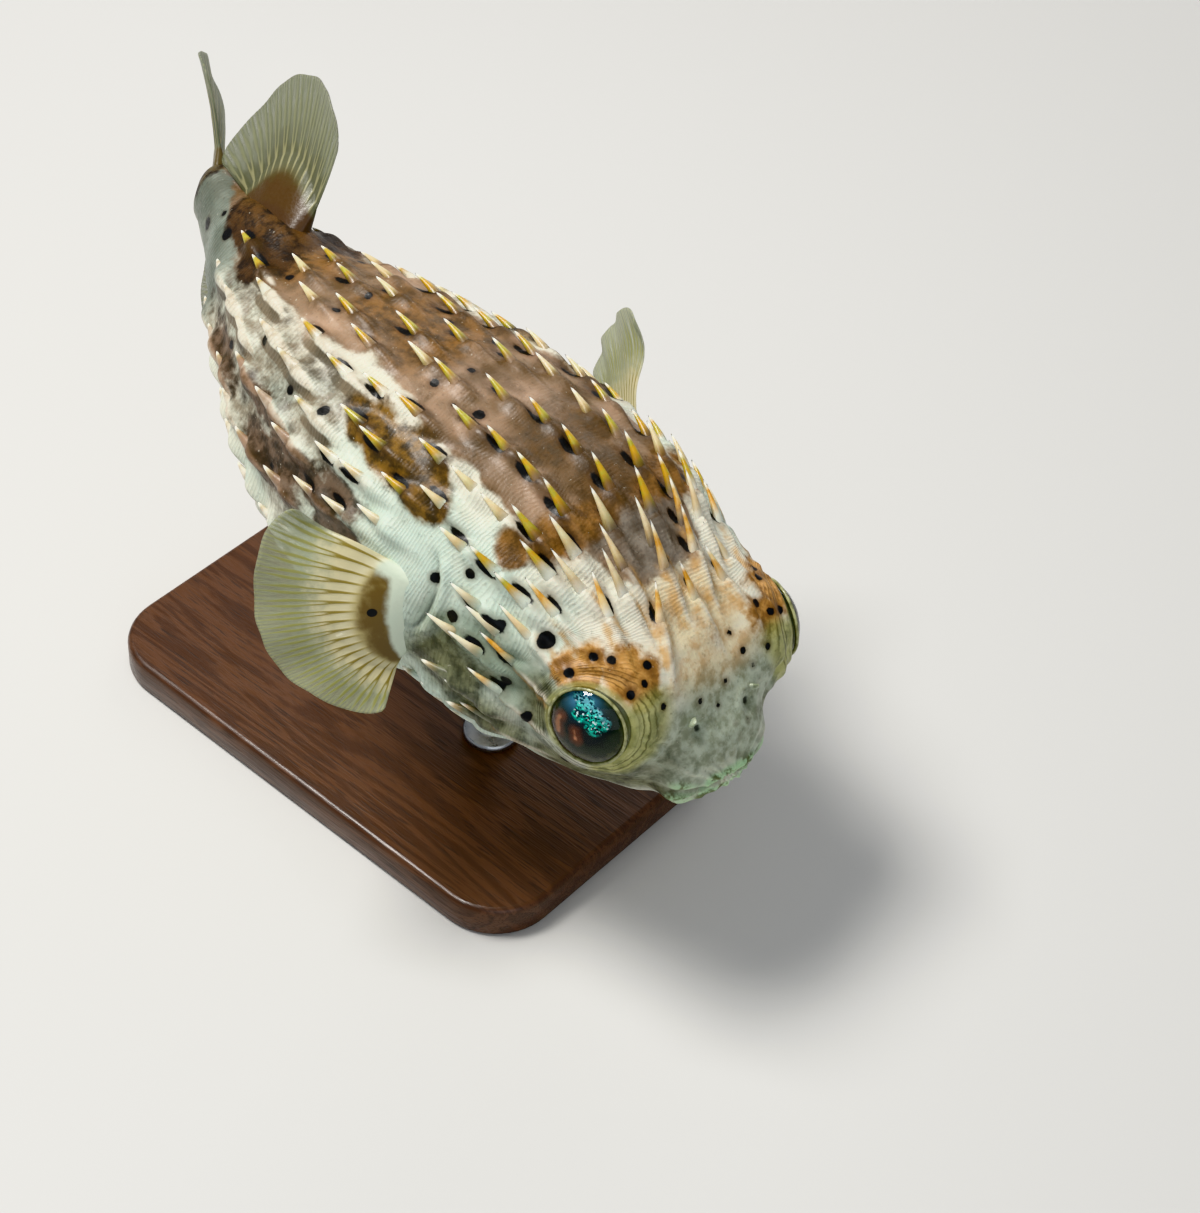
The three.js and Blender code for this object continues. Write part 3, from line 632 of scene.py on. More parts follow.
class Finish:
    """A material, and the nodes that paint it. A colour is given as a code such as "a8927c"."""

    def __init__(self, name):
        self.material = bpy.data.materials.new(name)
        self.material.use_nodes = True
        self.nodes = self.material.node_tree.nodes
        self.links = self.material.node_tree.links
        self.nodes.clear()

    def node(self, kind, sockets, **settings):
        node = self.nodes.new("ShaderNode" + kind)
        for name, value in settings.items():
            setattr(node, name, value)
        for socket, value in sockets.items():
            if isinstance(value, bpy.types.NodeSocket):
                self.links.new(value, node.inputs[socket])
            else:
                node.inputs[socket].default_value = colour(value) if isinstance(value, str) else value
        return node

    def carried(self, name):
        return self.node("Attribute", {}, attribute_name=name).outputs["Fac"]

    def reckon(self, operation, *values):
        return self.node("Math", dict(enumerate(values)), operation=operation).outputs[0]

    def plus(self, first, second):
        return self.reckon("ADD", first, second)

    def times(self, first, second):
        return self.reckon("MULTIPLY", first, second)

    def uneven(self, value, clouds, strength):
        """A value pushed up and down by clouds."""
        return self.plus(value, self.times(self.reckon("SUBTRACT", clouds, 0.5), strength))

    def place(self):
        return self.node("TexCoord", {}).outputs["Object"]

    def stretched(self, stretch):
        return self.node("Mapping", {"Vector": self.place(), "Scale": stretch}).outputs[0]

    def noise(self, size, detail=2.0, roughness=0.5, stretch=None):
        """Cloudy numbers about 0.5, with clouds of a size in millimetres."""
        return self.node("TexNoise", {
            "Vector": self.stretched(stretch) if stretch else self.place(), "Scale": 1 / (size * MM),
            "Detail": detail, "Roughness": roughness}).outputs["Fac"]

    def step(self, value, low, high, start=0.0, end=1.0):
        sockets = {0: value, 1: low, 2: high, 3: start, 4: end}
        return self.node("MapRange", sockets, interpolation_type="SMOOTHSTEP").outputs[0]

    def mix(self, share, first, second, blend="MIX"):
        sockets = {0: share, 6: first, 7: second}
        return self.node("Mix", sockets, data_type="RGBA", blend_type=blend).outputs[2]

    def wash(self, under, where, low, high, share, tint, blend="MIX"):
        """Paint that grows from nothing to its share between two values of where."""
        if isinstance(where, str):
            where = self.carried(where)
        return self.mix(self.step(where, low, high, 0, share), under, tint, blend)

    def bump(self, height, depth, under=None):
        sockets = {"Height": height, "Distance": depth * MM, "Strength": 1.0}
        if under is not None:
            sockets["Normal"] = under
        return self.node("Bump", sockets).outputs[0]

    def surface(self, shader):
        self.node("OutputMaterial", {"Surface": shader.outputs[0]})
        return self.material

    def body(self, shown, clouds, smoothest, roughest, relief, more):
        """A solid surface: colour, roughness that follows clouds, relief, and what more it has."""
        roughness = self.step(clouds, 0.3, 0.7, smoothest, roughest)
        sockets = {"Base Color": shown, "Roughness": roughness, "Normal": relief}
        return self.node("BsdfPrincipled", {**sockets, **more})


def soft_flesh(weight, red, green, blue):
    """How much light sinks into flesh, and how many millimetres each colour of it travels."""
    radius = (red * MM, green * MM, blue * MM)
    return {"Subsurface Weight": weight, "Subsurface Radius": radius, "Subsurface Scale": 1.0}


# The pale ground: warm, a mint copy that is partly the skin's faint tint and partly painted shade, and grey.
GROUND_WARM, GROUND_MINT_SHADE, GROUND_GREY = "d8d4c2", "bccdbf", "a9b0a0"
# The darker colours between the tents of the rear flanks: partly the skin's own, partly painted shade.
SHADE_BETWEEN, SHADE_BETWEEN_DARK = "6d5d46", "463b28"
LOBE_PALE, LOBE_GREY, LOBE_PINK, GILT = "d5cebc", "b0a48e", "94745a", "c39a5f"
PEDESTAL_GOLD, PEDESTAL_DARK = "5a3f20", "22160b"
EYE_YELLOW, EYE_OLIVE, EYE_LINES = "aeac6b", "84864e", "6f7050"
LID_GREEN, LIP_GREEN, LIP_OLIVE = "a3a263", "adcda2", "66704a"
MANTLE_BROWN, FRECKLE_BROWN, HALO_BROWN = "5f4c34", "4a3d2c", "4c381d"
SPOT_BLACK, SPOT_HALO = "0b0b0c", "7a583c"
# Coats of paint, first to last: the patch, its plain and dark colours, how soft its edge is in
# millimetres, how strongly it covers, and which clouds mottle it.
PALE_COATS = [
    # The peduncle coat greys the tail: partly the tail's grey-green, partly painted shade.
    ("peduncle", "6d766b", "454d42", 5.0, 0.9, "broad"), ("tan", "dccba2", "c39a5f", 3.5, 0.75, "close"),
    ("snout", "abb5a0", "737c62", 3.5, 0.85, "close"), ("muzzle", "5d573a", "36351f", 4.0, 0.75, "close"),
    # The cheek coat is grey-green: partly the cheek's own colour, partly painted shade of the lower head.
    ("cheek", "8b9a85", "64715d", 4.0, 0.85, "broad"), ("olive", "6f7050", "36351f", 3.0, 0.92, "close"),
]
BROWN_COATS = [
    ("mantle", "8a735a", "5f4c34", 1.2, 1.0, "broad"), ("mantle", "a88b72", "5d4528", 1.2, 0.5, "middling"),
    ("grey", "817a6f", "635c52", 2.5, 0.9, "close"), ("dark", "5d4528", "4a3d2c", 4.0, 0.85, "close"),
    ("pink", "a88b72", "7d674f", 3.0, 0.8, "broad"), ("golden", "7d5a30", "4c381d", 4.0, 0.9, "close"),
    # The streak coat: dark brown streaks on the lower flank, painted darker still as painted shade.
    ("streak", "66503e", "2d2215", 1.0, 0.94, "close"),
]
BOLD_COATS = [
    ("saddle", "47311b", "22160b", 1.2, 1.0, "close"), ("nape", "8c673b", "5c4222", 1.4, 1.0, "close"),
    ("flank", "80602b", "372a12", 1.3, 1.0, "close"), ("brow", "bd8f52", "855e30", 1.1, 1.0, "close"),
    ("under", "dad8cb", "d8d4c2", 6.0, 1.0, "close"), ("collar", "5b4f31", "22160b", 1.0, 1.0, "close"),
]
RIPPLE_LENGTH = 0.95


def painted_skin(finish):
    """The colours of the skin, and the height of its fine ripples."""
    fine = finish.noise(1.1, 3.0)
    clouds = {
        "close": finish.noise(3.4, 3.0, 0.6), "middling": finish.noise(6.5, 2.5, 0.6, (1, 0.6, 1.3)),
        "broad": finish.noise(11, 2.0)}
    patchy = clouds["close"]
    wave_place = finish.plus(finish.carried("ripple"), finish.times(patchy, 1.1))
    wave = finish.reckon("SINE", finish.times(wave_place, 2 * math.pi / RIPPLE_LENGTH))
    wave = finish.times(wave, finish.carried("wrinkled"))
    frayed = finish.uneven(finish.uneven(0.0, patchy, 3.6), fine, 1.2)

    def mottled(plain, dark, low=0.42, high=0.66):
        return finish.wash(plain, patchy, low, high, 1, dark)

    def coats(under, patches):
        for name, plain, dark, width, share, cloud in patches:
            edge = finish.step(finish.plus(finish.carried(name), frayed), -width, width, 0, share)
            mottling = finish.step(clouds[cloud], 0.36, 0.66)
            under = finish.mix(edge, under, finish.mix(mottling, plain, dark))
        return under

    # The pale ground, painted mint down the sides: partly the skin's faint tint, partly painted shade.
    coat = finish.wash(GROUND_WARM, finish.plus(finish.carried("mint_shade"), frayed), -4.0, 5.0, 0.9, GROUND_MINT_SHADE)
    coat = coats(finish.wash(coat, clouds["middling"], 0.48, 0.72, 0.4, GROUND_GREY), PALE_COATS)
    # Between the tents of the rear flanks: partly darker skin, partly painted shadow under each tent.
    between = finish.wash(SHADE_BETWEEN, clouds["broad"], 0.4, 0.6, 1, SHADE_BETWEEN_DARK)
    coat = finish.wash(coat, finish.uneven(finish.carried("shade"), patchy, 0.9), 0.15, 0.7, 0.9, between)
    coat = coats(coat, BROWN_COATS)
    gilded = finish.times(finish.carried("gilt"), finish.step(patchy, 0.25, 0.7))
    coat = finish.wash(coat, gilded, 0.0, 0.9, 0.8, GILT)
    lobe = finish.wash(mottled(LOBE_PALE, LOBE_GREY), "streak", -2.5, 1.5, 0.9, LOBE_PINK)
    coat = coats(finish.wash(coat, "lobes", 0.2, 0.8, 0.9, lobe), BOLD_COATS)
    pedestal = mottled(PEDESTAL_GOLD, PEDESTAL_DARK, 0.38, 0.64)
    coat = finish.wash(coat, "dorsalroot", 0.15, 0.6, 0.85, pedestal)
    haloed = finish.times(finish.carried("halo"), finish.step(patchy, 0.3, 0.6, 0.4, 1.0))
    coat = finish.wash(coat, haloed, 0.2, 0.9, 0.6, HALO_BROWN)
    coat = finish.wash(coat, "eyefront", 0.25, 0.9, 0.85, mottled(EYE_YELLOW, EYE_OLIVE))
    round_eye = finish.times(finish.carried("rings"), wave)
    coat = finish.wash(coat, round_eye, 0.1, 0.9, 0.7, EYE_LINES, "MULTIPLY")
    coat = finish.wash(coat, "lid", 0.4, 1.0, 0.6, LID_GREEN)
    coat = finish.wash(coat, "lips", 0.4, 1.1, 0.95, mottled(LIP_GREEN, LIP_OLIVE, 0.5, 0.62))

    coat = finish.wash(coat, finish.noise(0.9, 1.0), 0.73, 0.8, 0.35, GROUND_WARM)
    coat = finish.wash(coat, fine, 0.58, 0.74, 0.25, FRECKLE_BROWN, "MULTIPLY")
    coat = finish.wash(coat, wave, 0.1, 1.0, 0.2, MANTLE_BROWN, "MULTIPLY")
    # Round black spots, and black marks by the spines that are partly painted shadow, each with a soft brown
    # fringe.
    spot_edge = finish.plus(finish.carried("spot"), finish.times(fine, 0.4))
    coat = finish.wash(coat, spot_edge, -0.9, 0.2, 0.4, SPOT_HALO, "MULTIPLY")
    coat = finish.wash(coat, spot_edge, 0.08, 0.36, 1, SPOT_BLACK)
    # Painted shade: the gill slit, the mouth's slit and the nostril pits are painted black.
    coat = finish.wash(coat, "gill", 0.35, 0.8, 0.9, SPOT_BLACK)
    return coat, wave, fine, patchy


finish = Finish("painted skin")
coat, wave, fine, patchy = painted_skin(finish)
relief = finish.bump(patchy, 0.16, finish.bump(fine, 0.12, finish.bump(wave, 0.036)))
painted = finish.body(coat, fine, 0.42, 0.56, relief, {
    **soft_flesh(0.12, 1.6, 1, 0.7), "Specular IOR Level": 0.4,
    "Coat Weight": 0.08, "Coat Roughness": 0.25})
skin.data.materials.append(finish.surface(painted))
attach(skin, "root")
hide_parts("head", "trunk", "tail")


# ---- The spines ----
# Stout two-rooted spines that lie back along the body, each in a sleeve of skin that thins
# towards the sharp tip. They are gold along the back, amber to ivory on the forehead, ivory on
# the flanks, and pale at the tips. All are joined into one mesh, and each is a tapering tube.

SPINE_SIDES = 14
SPINE_RINGS = [-0.1, -0.04, 0.03, 0.1, 0.2, 0.29, 0.4, 0.54, 0.68, 0.8, 0.9, 0.965]
SPINE_PATCH = 0.003
SPINE_SUNK = 0.8
FOREHEAD_SLIM, AMBER_END = 0.82, 43
spine_radius = through_points((-0.1, 0.5), (0, 1.1), (0.1, 1.48), (0.2, 1.42), (0.32, 1.2), (0.48, 0.92),
                              (0.7, 0.58), (0.9, 0.28), (1, 0.05))

points, tube = [], []
turns = np.arange(SPINE_SIDES) / SPINE_SIDES * 2 * math.pi
levels = np.array(SPINE_RINGS)
tip_at = len(levels) * SPINE_SIDES
for number, spine in enumerate(spines):
    along = unit(spine["back"] * math.cos(spine["lift"]) + spine["out"] * math.sin(spine["lift"]))
    up = unit(np.cross(spine["across"], along)) * -1
    up *= np.sign(up @ spine["out"])
    stout = 1 + 0.3 * spine["sheathed"]
    slim = FOREHEAD_SLIM if spine["s"] < FOREHEAD_END else 1
    radius = spine_radius(levels) * stout * slim * (0.84 + 0.016 * spine["length"])
    bend = -SPINE_SUNK * (1 - np.clip(levels, 0, 1)) ** 2 - 0.5 * np.clip(levels, 0, 1) ** 3
    centre = spine["root"] + levels[:, None] * spine["length"] * along + bend[:, None] * up
    flatness = 0.5 + 0.42 * smooth(levels, 0, 0.4)
    wide = radius[:, None] * np.cos(turns) * 1.08
    thick = (radius * flatness)[:, None] * np.sin(turns)
    tube_points = centre[:, None] + wide[..., None] * spine["across"] + thick[..., None] * up
    tip = spine["root"] + spine["length"] * along + bend[-1] * up
    base = number * (tip_at + 1)
    points.append(np.vstack([tube_points.reshape(-1, 3), tip]))
    ring = base + np.arange(SPINE_SIDES)
    tube += (tube_faces(len(levels), SPINE_SIDES)[:, ::-1] + base).tolist()
    tube += point_faces((ring + tip_at - SPINE_SIDES)[::-1], base + tip_at)
    tube.append(ring.tolist())


def at_points(name):
    """A spine's own value, at each of its points."""
    return np.repeat([spine[name] for spine in spines], tip_at + 1, axis=0)


point_s, point_phi, chance, sheath = (at_points(name) for name in ("s", "phi", "chance", "sheathed"))
point_level = np.tile(np.append(np.repeat(levels, SPINE_SIDES), 1.0), len(spines))
point_turn = np.tile(np.append(np.tile(turns, len(levels)), 0.0), len(spines))
on_patch = np.stack([np.cos(point_turn) * 0.25, point_level - 0.5], -1)
point_map = unwrap(point_s, point_phi) + SPINE_PATCH * on_patch
spine_piece = mesh_piece("spines", on_stand(np.vstack(points)), tube, point_map[np.concatenate(tube)])
worn = markings(point_s, point_phi, at_points("root"))
forehead = (point_s < AMBER_END) * 1.0
amber = forehead * (0.25 + 0.75 * smooth(chance, -0.5, 0.5))
gold = (1 - forehead) * smooth(1.15 - np.abs(point_phi), 0, 0.12) * (0.35 + 0.65 * (chance > -0.55))
NOT_ON_SPINES = ("gill", "lid", "lips", "dorsalroot", "wrinkled", "shade", "rings", "eyefront", "gilt",
                 "halo")
worn.update({name: np.zeros(len(point_s)) for name in NOT_ON_SPINES})
worn.update(
    spot=np.full(len(point_s), OFF_SPOTS), ripple=point_level * 9, gold=gold, amber=amber, tip=point_level,
    level=point_level - 0.38 * sheath - 0.07 * chance,
    lobes=lobed_rear(point_s) * smooth(np.abs(point_phi), 0.65, 0.85))
carry(spine_piece, worn)

GOLD, GOLD_DEEP, GOLD_GREEN = "bd942a", "6e5314", "a9a140"
AMBER, AMBER_PALE = "c8902f", "d9bd80"
IVORY, IVORY_DEEP, TIP_WHITE = "e2dabc", "a08a5c", "f6f3e4"
finish = Finish("spine horn")
coat, wave, fine, patchy = painted_skin(finish)
level = finish.uneven(finish.carried("level"), patchy, 0.25)
ivory = finish.wash(IVORY_DEEP, level, 0.3, 0.75, 1, IVORY)
ambers = finish.wash(AMBER, patchy, 0.4, 0.62, 1, AMBER_PALE)
horn = finish.mix(finish.carried("amber"), ivory, ambers)
golden = finish.wash(GOLD, patchy, 0.42, 0.62, 1, GOLD_GREEN)
golden = finish.wash(GOLD_DEEP, level, 0.15, 0.6, 1, golden)
horn = finish.mix(finish.carried("gold"), horn, golden)
shown = finish.wash(coat, level, 0.2, 0.56, 1, horn)
tip = finish.plus(finish.carried("tip"), finish.times(patchy, 0.12))
shown = finish.wash(shown, tip, 0.82, 0.98, 1, TIP_WHITE)
polished = finish.node("BsdfPrincipled", {
    "Base Color": shown, "Roughness": finish.step(level, 0.1, 0.8, 0.45, 0.28),
    "Normal": finish.bump(fine, 0.06), **soft_flesh(0.15, 1.5, 1, 0.6),
    "Coat Weight": 0.3, "Coat Roughness": 0.18})
spine_piece.data.materials.append(finish.surface(polished))
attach(spine_piece, "root")


# ---- The eyes ----
# Large glassy eyes: a clear resin dome cast over a painted iris, dark, with a drift of turquoise
# glitter before the pupil, painted copper reflections in arcs below it, and a painted pale blue
# reflection high on it. Dome and iris are turned on the eye's axis, and a bead of lid skin runs
# round the dome.

EYE_TURNS = 72
IRIS_RADIUS, IRIS_EDGE, IRIS_CROWN = 8.5, 1.9, 0.8
# In the plane of the eye, forward and up from its middle: drifts of glitter, each a place and a
# radius, and arcs of painted copper reflection, each two ends and half a width.
GLITTER = [(-5, 5.6, 1.4), (-2.8, 4.9, 2.1), (-2.5, 2.2, 1.9), (0.2, 3.3, 2.5), (2.5, 2.9, 2),
           (1.4, 0.5, 1.8)]
COPPER_REFLECTIONS = [((-6.3, -1.6), (-6.1, -3.4), 0.7), ((-6.1, -3.4), (-4.9, -5.2), 0.6),
          ((-1.9, -2.6), (-0.9, -4.4), 0.5)]
# The painted blue reflection high on the iris: its middle in that plane, and its spread.
SKY_REFLECTION_AT, SKY_REFLECTION_SPREAD = (-4.6, 6.4), 3.8


def turned(profile, centre, axis, upward):
    """Points of a turned shape: profile holds (distance from the axis, height) pairs."""
    side_way = unit(np.cross(upward, axis))
    up_way = np.cross(axis, side_way)
    angles = np.arange(EYE_TURNS) / EYE_TURNS * 2 * math.pi
    spokes = np.cos(angles)[:, None] * side_way + np.sin(angles)[:, None] * up_way
    return np.array([centre + height * axis + radius * spokes for radius, height in profile])


def closed_tube(name, rings, low_end, high_end):
    """A closed piece of rings, low to high, that ends in a point below and above them."""
    count = rings.shape[1]
    points = np.vstack([rings.reshape(-1, 3), low_end, high_end])
    ring = np.arange(count)
    faces = tube_faces(len(rings), count)[:, ::-1].tolist()
    faces += point_faces(ring[::-1], len(points) - 2)
    faces += point_faces(ring + (len(rings) - 1) * count, len(points) - 1)
    return mesh_piece(name, on_stand(points), faces), points


def closed_turning(name, profile, centre, axis, upward):
    """A turned piece whose profile starts and ends on the axis."""
    rings = turned(profile[1:-1], centre, axis, upward)
    return closed_tube(name, rings, centre + profile[0][1] * axis, centre + profile[-1][1] * axis)


def dome_height(radius):
    return EYE_DEPTH * np.sqrt(np.maximum(1 - (radius / EYE_RADIUS) ** 2, 0))


finish = Finish("clear dome")
gleam = finish.node("BsdfGlossy", {"Color": (1, 1, 1, 1), "Roughness": 0.03})
open_way = finish.node("BsdfTransparent", {"Color": (0.93, 0.97, 0.98, 1)})
edge_on = finish.node("Fresnel", {"IOR": 1.42}).outputs[0]
clear_material = finish.surface(finish.node(
    "MixShader", {0: edge_on, 1: open_way.outputs[0], 2: gleam.outputs[0]}))

finish = Finish("iris")
cloud = finish.noise(2.2, 3.0)
murk = finish.uneven(finish.carried("reach"), cloud, 3.0)
shown = finish.wash("061114", murk, 3.5, 7.5, 1, "3d4332")
shown = finish.wash(shown, murk, 7.2, 8.6, 1, "77774c")
# Painted reflection: a pale blue patch high on the iris.
shown = finish.mix(finish.times(finish.carried("sky_reflection"), 0.95), shown, "6fb2dc")
# Painted reflections: copper arcs low on the iris.
copper_reflection_edge = finish.uneven(finish.carried("copper_reflection"), cloud, 1.6)
shown = finish.wash(shown, copper_reflection_edge, -1.8, 0.4, 0.75, "8e4627")
shown = finish.wash(shown, copper_reflection_edge, -0.2, 0.6, 0.95, "ffab7a")
cells = finish.node("TexVoronoi", {"Vector": finish.place(), "Scale": 2300.0})
sparkle = finish.node("SeparateColor", {"Color": cells.outputs["Color"]}).outputs
inside = finish.step(finish.uneven(finish.carried("drift"), cloud, 2.4), -0.4, 0.4)
shown = finish.mix(finish.times(inside, 0.85), shown, "032126")
glitter = finish.wash("04917f", sparkle[1], 0.3, 0.8, 1, "2ff0cc")
glitter = finish.wash(glitter, sparkle[2], 0.84, 0.88, 1, "f0ffff")
high_up = finish.step(finish.carried("upward"), 2.0, 6.0, 0, 0.6)
glitter = finish.mix(high_up, glitter, "a8e4ff")
shown = finish.mix(finish.times(inside, finish.step(sparkle[0], 0.36, 0.46)), shown, glitter)
iris_material = finish.surface(finish.body(
    shown, cloud, 0.4, 0.55, finish.bump(cloud, 0.03), {"Specular IOR Level": 0.15}))

finish = Finish("eyelid")
cloud = finish.noise(1.6, 3.0)
lid_colour = finish.wash("a5a678", cloud, 0.36, 0.66, 1, "6c6c45")
lid_material = finish.surface(finish.body(
    lid_colour, cloud, 0.3, 0.42, finish.bump(cloud, 0.06), {"Coat Weight": 0.3, "Coat Roughness": 0.15}))


def to_segment(x, y, start, end):
    """Distance from points in a plane to a straight piece of line."""
    start, end = np.array(start, float), np.array(end, float)
    run = end - start
    along = np.clip(((x - start[0]) * run[0] + (y - start[1]) * run[1]) / (run @ run), 0, 1)
    return np.hypot(x - start[0] - along * run[0], y - start[1] - along * run[1])


LID_SIDES = 14
for word, side in SIDES.items():
    centre, axis = eye_seats[side]
    upward = unit(head_up - (head_up @ axis) * axis)
    forward = unit(head_forward - (head_forward @ axis) * axis)
    radii = np.sin(np.linspace(0, 0.965, 22) * math.pi / 2) * EYE_RADIUS
    outer = [(r, float(dome_height(r))) for r in radii[::-1]]
    dome_profile = [(0, 0.3), (EYE_RADIUS - 0.3, 0.3), *outer[:-1], (0, outer[-1][1])]
    dome, _ = closed_turning("eye_dome_" + word, dome_profile, centre, axis, upward)
    dome.data.materials.append(clear_material)

    inside = np.sin(np.linspace(1, 0, 56) * math.pi / 2)
    crown = [(r * IRIS_RADIUS, IRIS_EDGE + IRIS_CROWN * (1 - r * r)) for r in inside]
    iris_profile = [(0, 0.6), (IRIS_RADIUS - 0.4, 1.2), *crown]
    iris, iris_points = closed_turning("eye_iris_" + word, iris_profile, centre, axis, upward)
    ahead, over = (iris_points - centre) @ forward, (iris_points - centre) @ upward
    carry(iris, {
        "reach": np.hypot(ahead, over), "upward": over,
        "drift": np.max([r - np.hypot(ahead - x, over - y) for x, y, r in GLITTER], axis=0),
        "copper_reflection": np.max([half - to_segment(ahead, over, a, b) for a, b, half in COPPER_REFLECTIONS], axis=0),
        "sky_reflection": bell(np.hypot(ahead - SKY_REFLECTION_AT[0], over - SKY_REFLECTION_AT[1]), SKY_REFLECTION_SPREAD),
    })
    iris.data.materials.append(iris_material)

    turn = -np.arange(LID_SIDES) / LID_SIDES * 2 * math.pi
    bead = np.stack([LID_RADIUS + LID_BEAD * np.cos(turn), LID_HEIGHT + LID_BEAD * np.sin(turn)], -1)
    bead = turned(bead, centre, axis, upward)
    ring_faces = tube_faces(LID_SIDES + 1, EYE_TURNS) % (LID_SIDES * EYE_TURNS)
    eyelid = mesh_piece("eyelid_" + word, on_stand(bead.reshape(-1, 3)), ring_faces.tolist())
    eyelid.data.materials.append(lid_material)
    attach(eyelid, "root")
    for piece in (dome, iris):
        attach(piece, "root")
        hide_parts("eye_" + word)


# ---- The nostrils ----
# A short fleshy flap on each side of the snout, behind the pit of the nostril. Each is a
# flattened tube that tapers to a round tip and leans back.

# Each ring of a flap: its height, and half its width and half its thickness.
NOSTRIL_RINGS = [(-1.2, 1.5, 0.8), (-0.2, 1.45, 0.72), (0.4, 1.35, 0.6), (0.9, 1.15, 0.5),
                 (1.3, 0.92, 0.42), (1.65, 0.62, 0.32), (1.85, 0.32, 0.18)]
NOSTRIL_SIDES = 28
finish = Finish("nostril flap")
pale = finish.wash("aeb79f", finish.noise(1.2), 0.4, 0.65, 1, "7c866a")
flap_material = finish.surface(finish.body(
    pale, finish.noise(0.8), 0.36, 0.5, finish.bump(finish.noise(0.6), 0.05),
    {**soft_flesh(0.1, 1.5, 1, 0.8), "Coat Weight": 0.2, "Coat Roughness": 0.2}))
for word, side in SIDES.items():
    back, out, root = surface_frame(NOSTRIL_S, -side * NOSTRIL_PHI)
    across = np.cross(back, out)
    turns = np.arange(NOSTRIL_SIDES) / NOSTRIL_SIDES * 2 * math.pi
    rings = np.array([
        root + out * level + back * (0.35 * level)
        + np.cos(turns)[:, None] * wide * across + np.sin(turns)[:, None] * thick * back
        for level, wide, thick in NOSTRIL_RINGS])
    flap, _ = closed_tube("nostril_flap_" + word, rings, rings[0].mean(0), rings[-1].mean(0) + 0.15 * out)
    flap.data.materials.append(flap_material)
    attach(flap, "root")
    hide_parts("nostril_" + word)


# ---- The fins ----
# Thin skin over forked soft rays, on fleshy roots. Every fin is a fan of rays from a root
# line: thick and painted like the skin at the root, clear towards its thin margin.

FIN_ROWS = 46
CORNERS_FROM = 0.68


def spread(first, centre, last):
    """Rays spread evenly through three named ones."""
    first, centre, last = (np.array(ray, float) for ray in (first, centre, last))
    middle = 2 * centre - 0.5 * first - 0.5 * last

    def ray(t):
        t = np.asarray(t, float)[..., None]
        return (1 - t) ** 2 * first + 2 * t * (1 - t) * middle + t * t * last

    return ray


def ray_crests(t, r, ray_count):
    """1 on a ray and 0 between rays: each ray forks in two, and again near the margin."""
    spacing = 1 / ray_count
    fork = 0.24 * smooth(r, 0.32, 0.8) * spacing
    fork_again = 0.11 * smooth(r, 0.6, 0.98) * spacing
    from_ray = np.abs((t / spacing) % 1 - 0.5) * spacing
    from_fork = np.abs(from_ray - fork)
    nearest = np.abs(from_fork - fork_again)
    thin = spacing * (0.13 - 0.075 * smooth(r, 0.25, 0.85))
    return np.exp(-((nearest / thin) ** 2))


def fan(name, base, ray, ray_count, flesh, bow, root_thick, edge_thick, ruffle, round_ends=0.1):
    """A closed fin. flesh(t) is the share of each ray's length that is fleshy root."""
    columns = ray_count * 9 + 1
    t, r = np.meshgrid(np.linspace(0, 1, columns), np.linspace(0, 1, FIN_ROWS), indexing="ij")

    def middle_at(t, r):
        along = ray(t)
        side = unit(np.cross(ray(np.minimum(t + 0.05, 1)) - ray(np.maximum(t - 0.05, 0)), along))
        corner = np.clip((np.abs(2 * t - 1) - CORNERS_FROM) / (1 - CORNERS_FROM), 0, 1)
        soft_edge = 1 - 0.004 * smooth(r, 0.8, 1) * (1 + np.sin(t * 43 + 1))
        soft_edge -= 0.15 * r * (1 - np.sqrt(1 - corner**2))
        lift = bow * 4 * r * (1 - r) + ruffle(t, r)
        return base(t) + along * (r * soft_edge)[..., None] + side * lift[..., None]

    middle = middle_at(t, r)
    across = middle_at(np.minimum(t + 0.01, 1), r) - middle_at(np.maximum(t - 0.01, 0), r)
    along = middle_at(t, np.minimum(r + 0.02, 1)) - middle_at(t, np.maximum(r - 0.02, 0))
    normal = unit(np.cross(across, along))
    crest = ray_crests(t, r, ray_count)
    fleshy = 1 - smooth(r / flesh(t), 0.58, 1.2)
    taper = np.clip(1 - r / (1.12 * flesh(t)), 0, 1) ** 0.8
    sheet = edge_thick + (root_thick - edge_thick) * taper
    half = (sheet + 0.4 * crest * (1 - fleshy) * (1 - 0.7 * r)) / 2
    ends = 0.02 + round_ends * taper
    half = half * np.sqrt(1 - 0.85 * np.clip(1 - np.minimum(t, 1 - t) / ends, 0, 1) ** 2)
    upper, lower = middle + normal * half[..., None], middle - normal * half[..., None]
    points = np.vstack([upper.reshape(-1, 3), lower.reshape(-1, 3)])
    i, j = np.meshgrid(np.arange(columns - 1), np.arange(FIN_ROWS - 1), indexing="ij")
    a = i * FIN_ROWS + j
    quads = np.stack([a, a + FIN_ROWS, a + FIN_ROWS + 1, a + 1], -1).reshape(-1, 4)
    under = quads[:, ::-1] + columns * FIN_ROWS
    size = columns * FIN_ROWS
    rim = np.concatenate([
        np.arange(columns) * FIN_ROWS,
        (columns - 1) * FIN_ROWS + np.arange(1, FIN_ROWS),
        np.arange(columns - 2, -1, -1) * FIN_ROWS + FIN_ROWS - 1,
        np.arange(FIN_ROWS - 2, 0, -1)])
    turn = np.roll(rim, -1)
    hem = np.stack([turn, rim, rim + size, turn + size], -1)
    fin = mesh_piece(name, on_stand(points), np.vstack([quads, under, hem]).tolist())
    by_body = np.maximum(1 - smooth(r, 0.1, 0.26), bell(t, 0.13) * bell(r - 0.2, 0.17))
    both = {"crest": crest, "reach": r, "fleshy": fleshy, "along": t, "bybody": by_body}
    carry(fin, {key: np.concatenate([value.ravel()] * 2) for key, value in both.items()})
    return fin


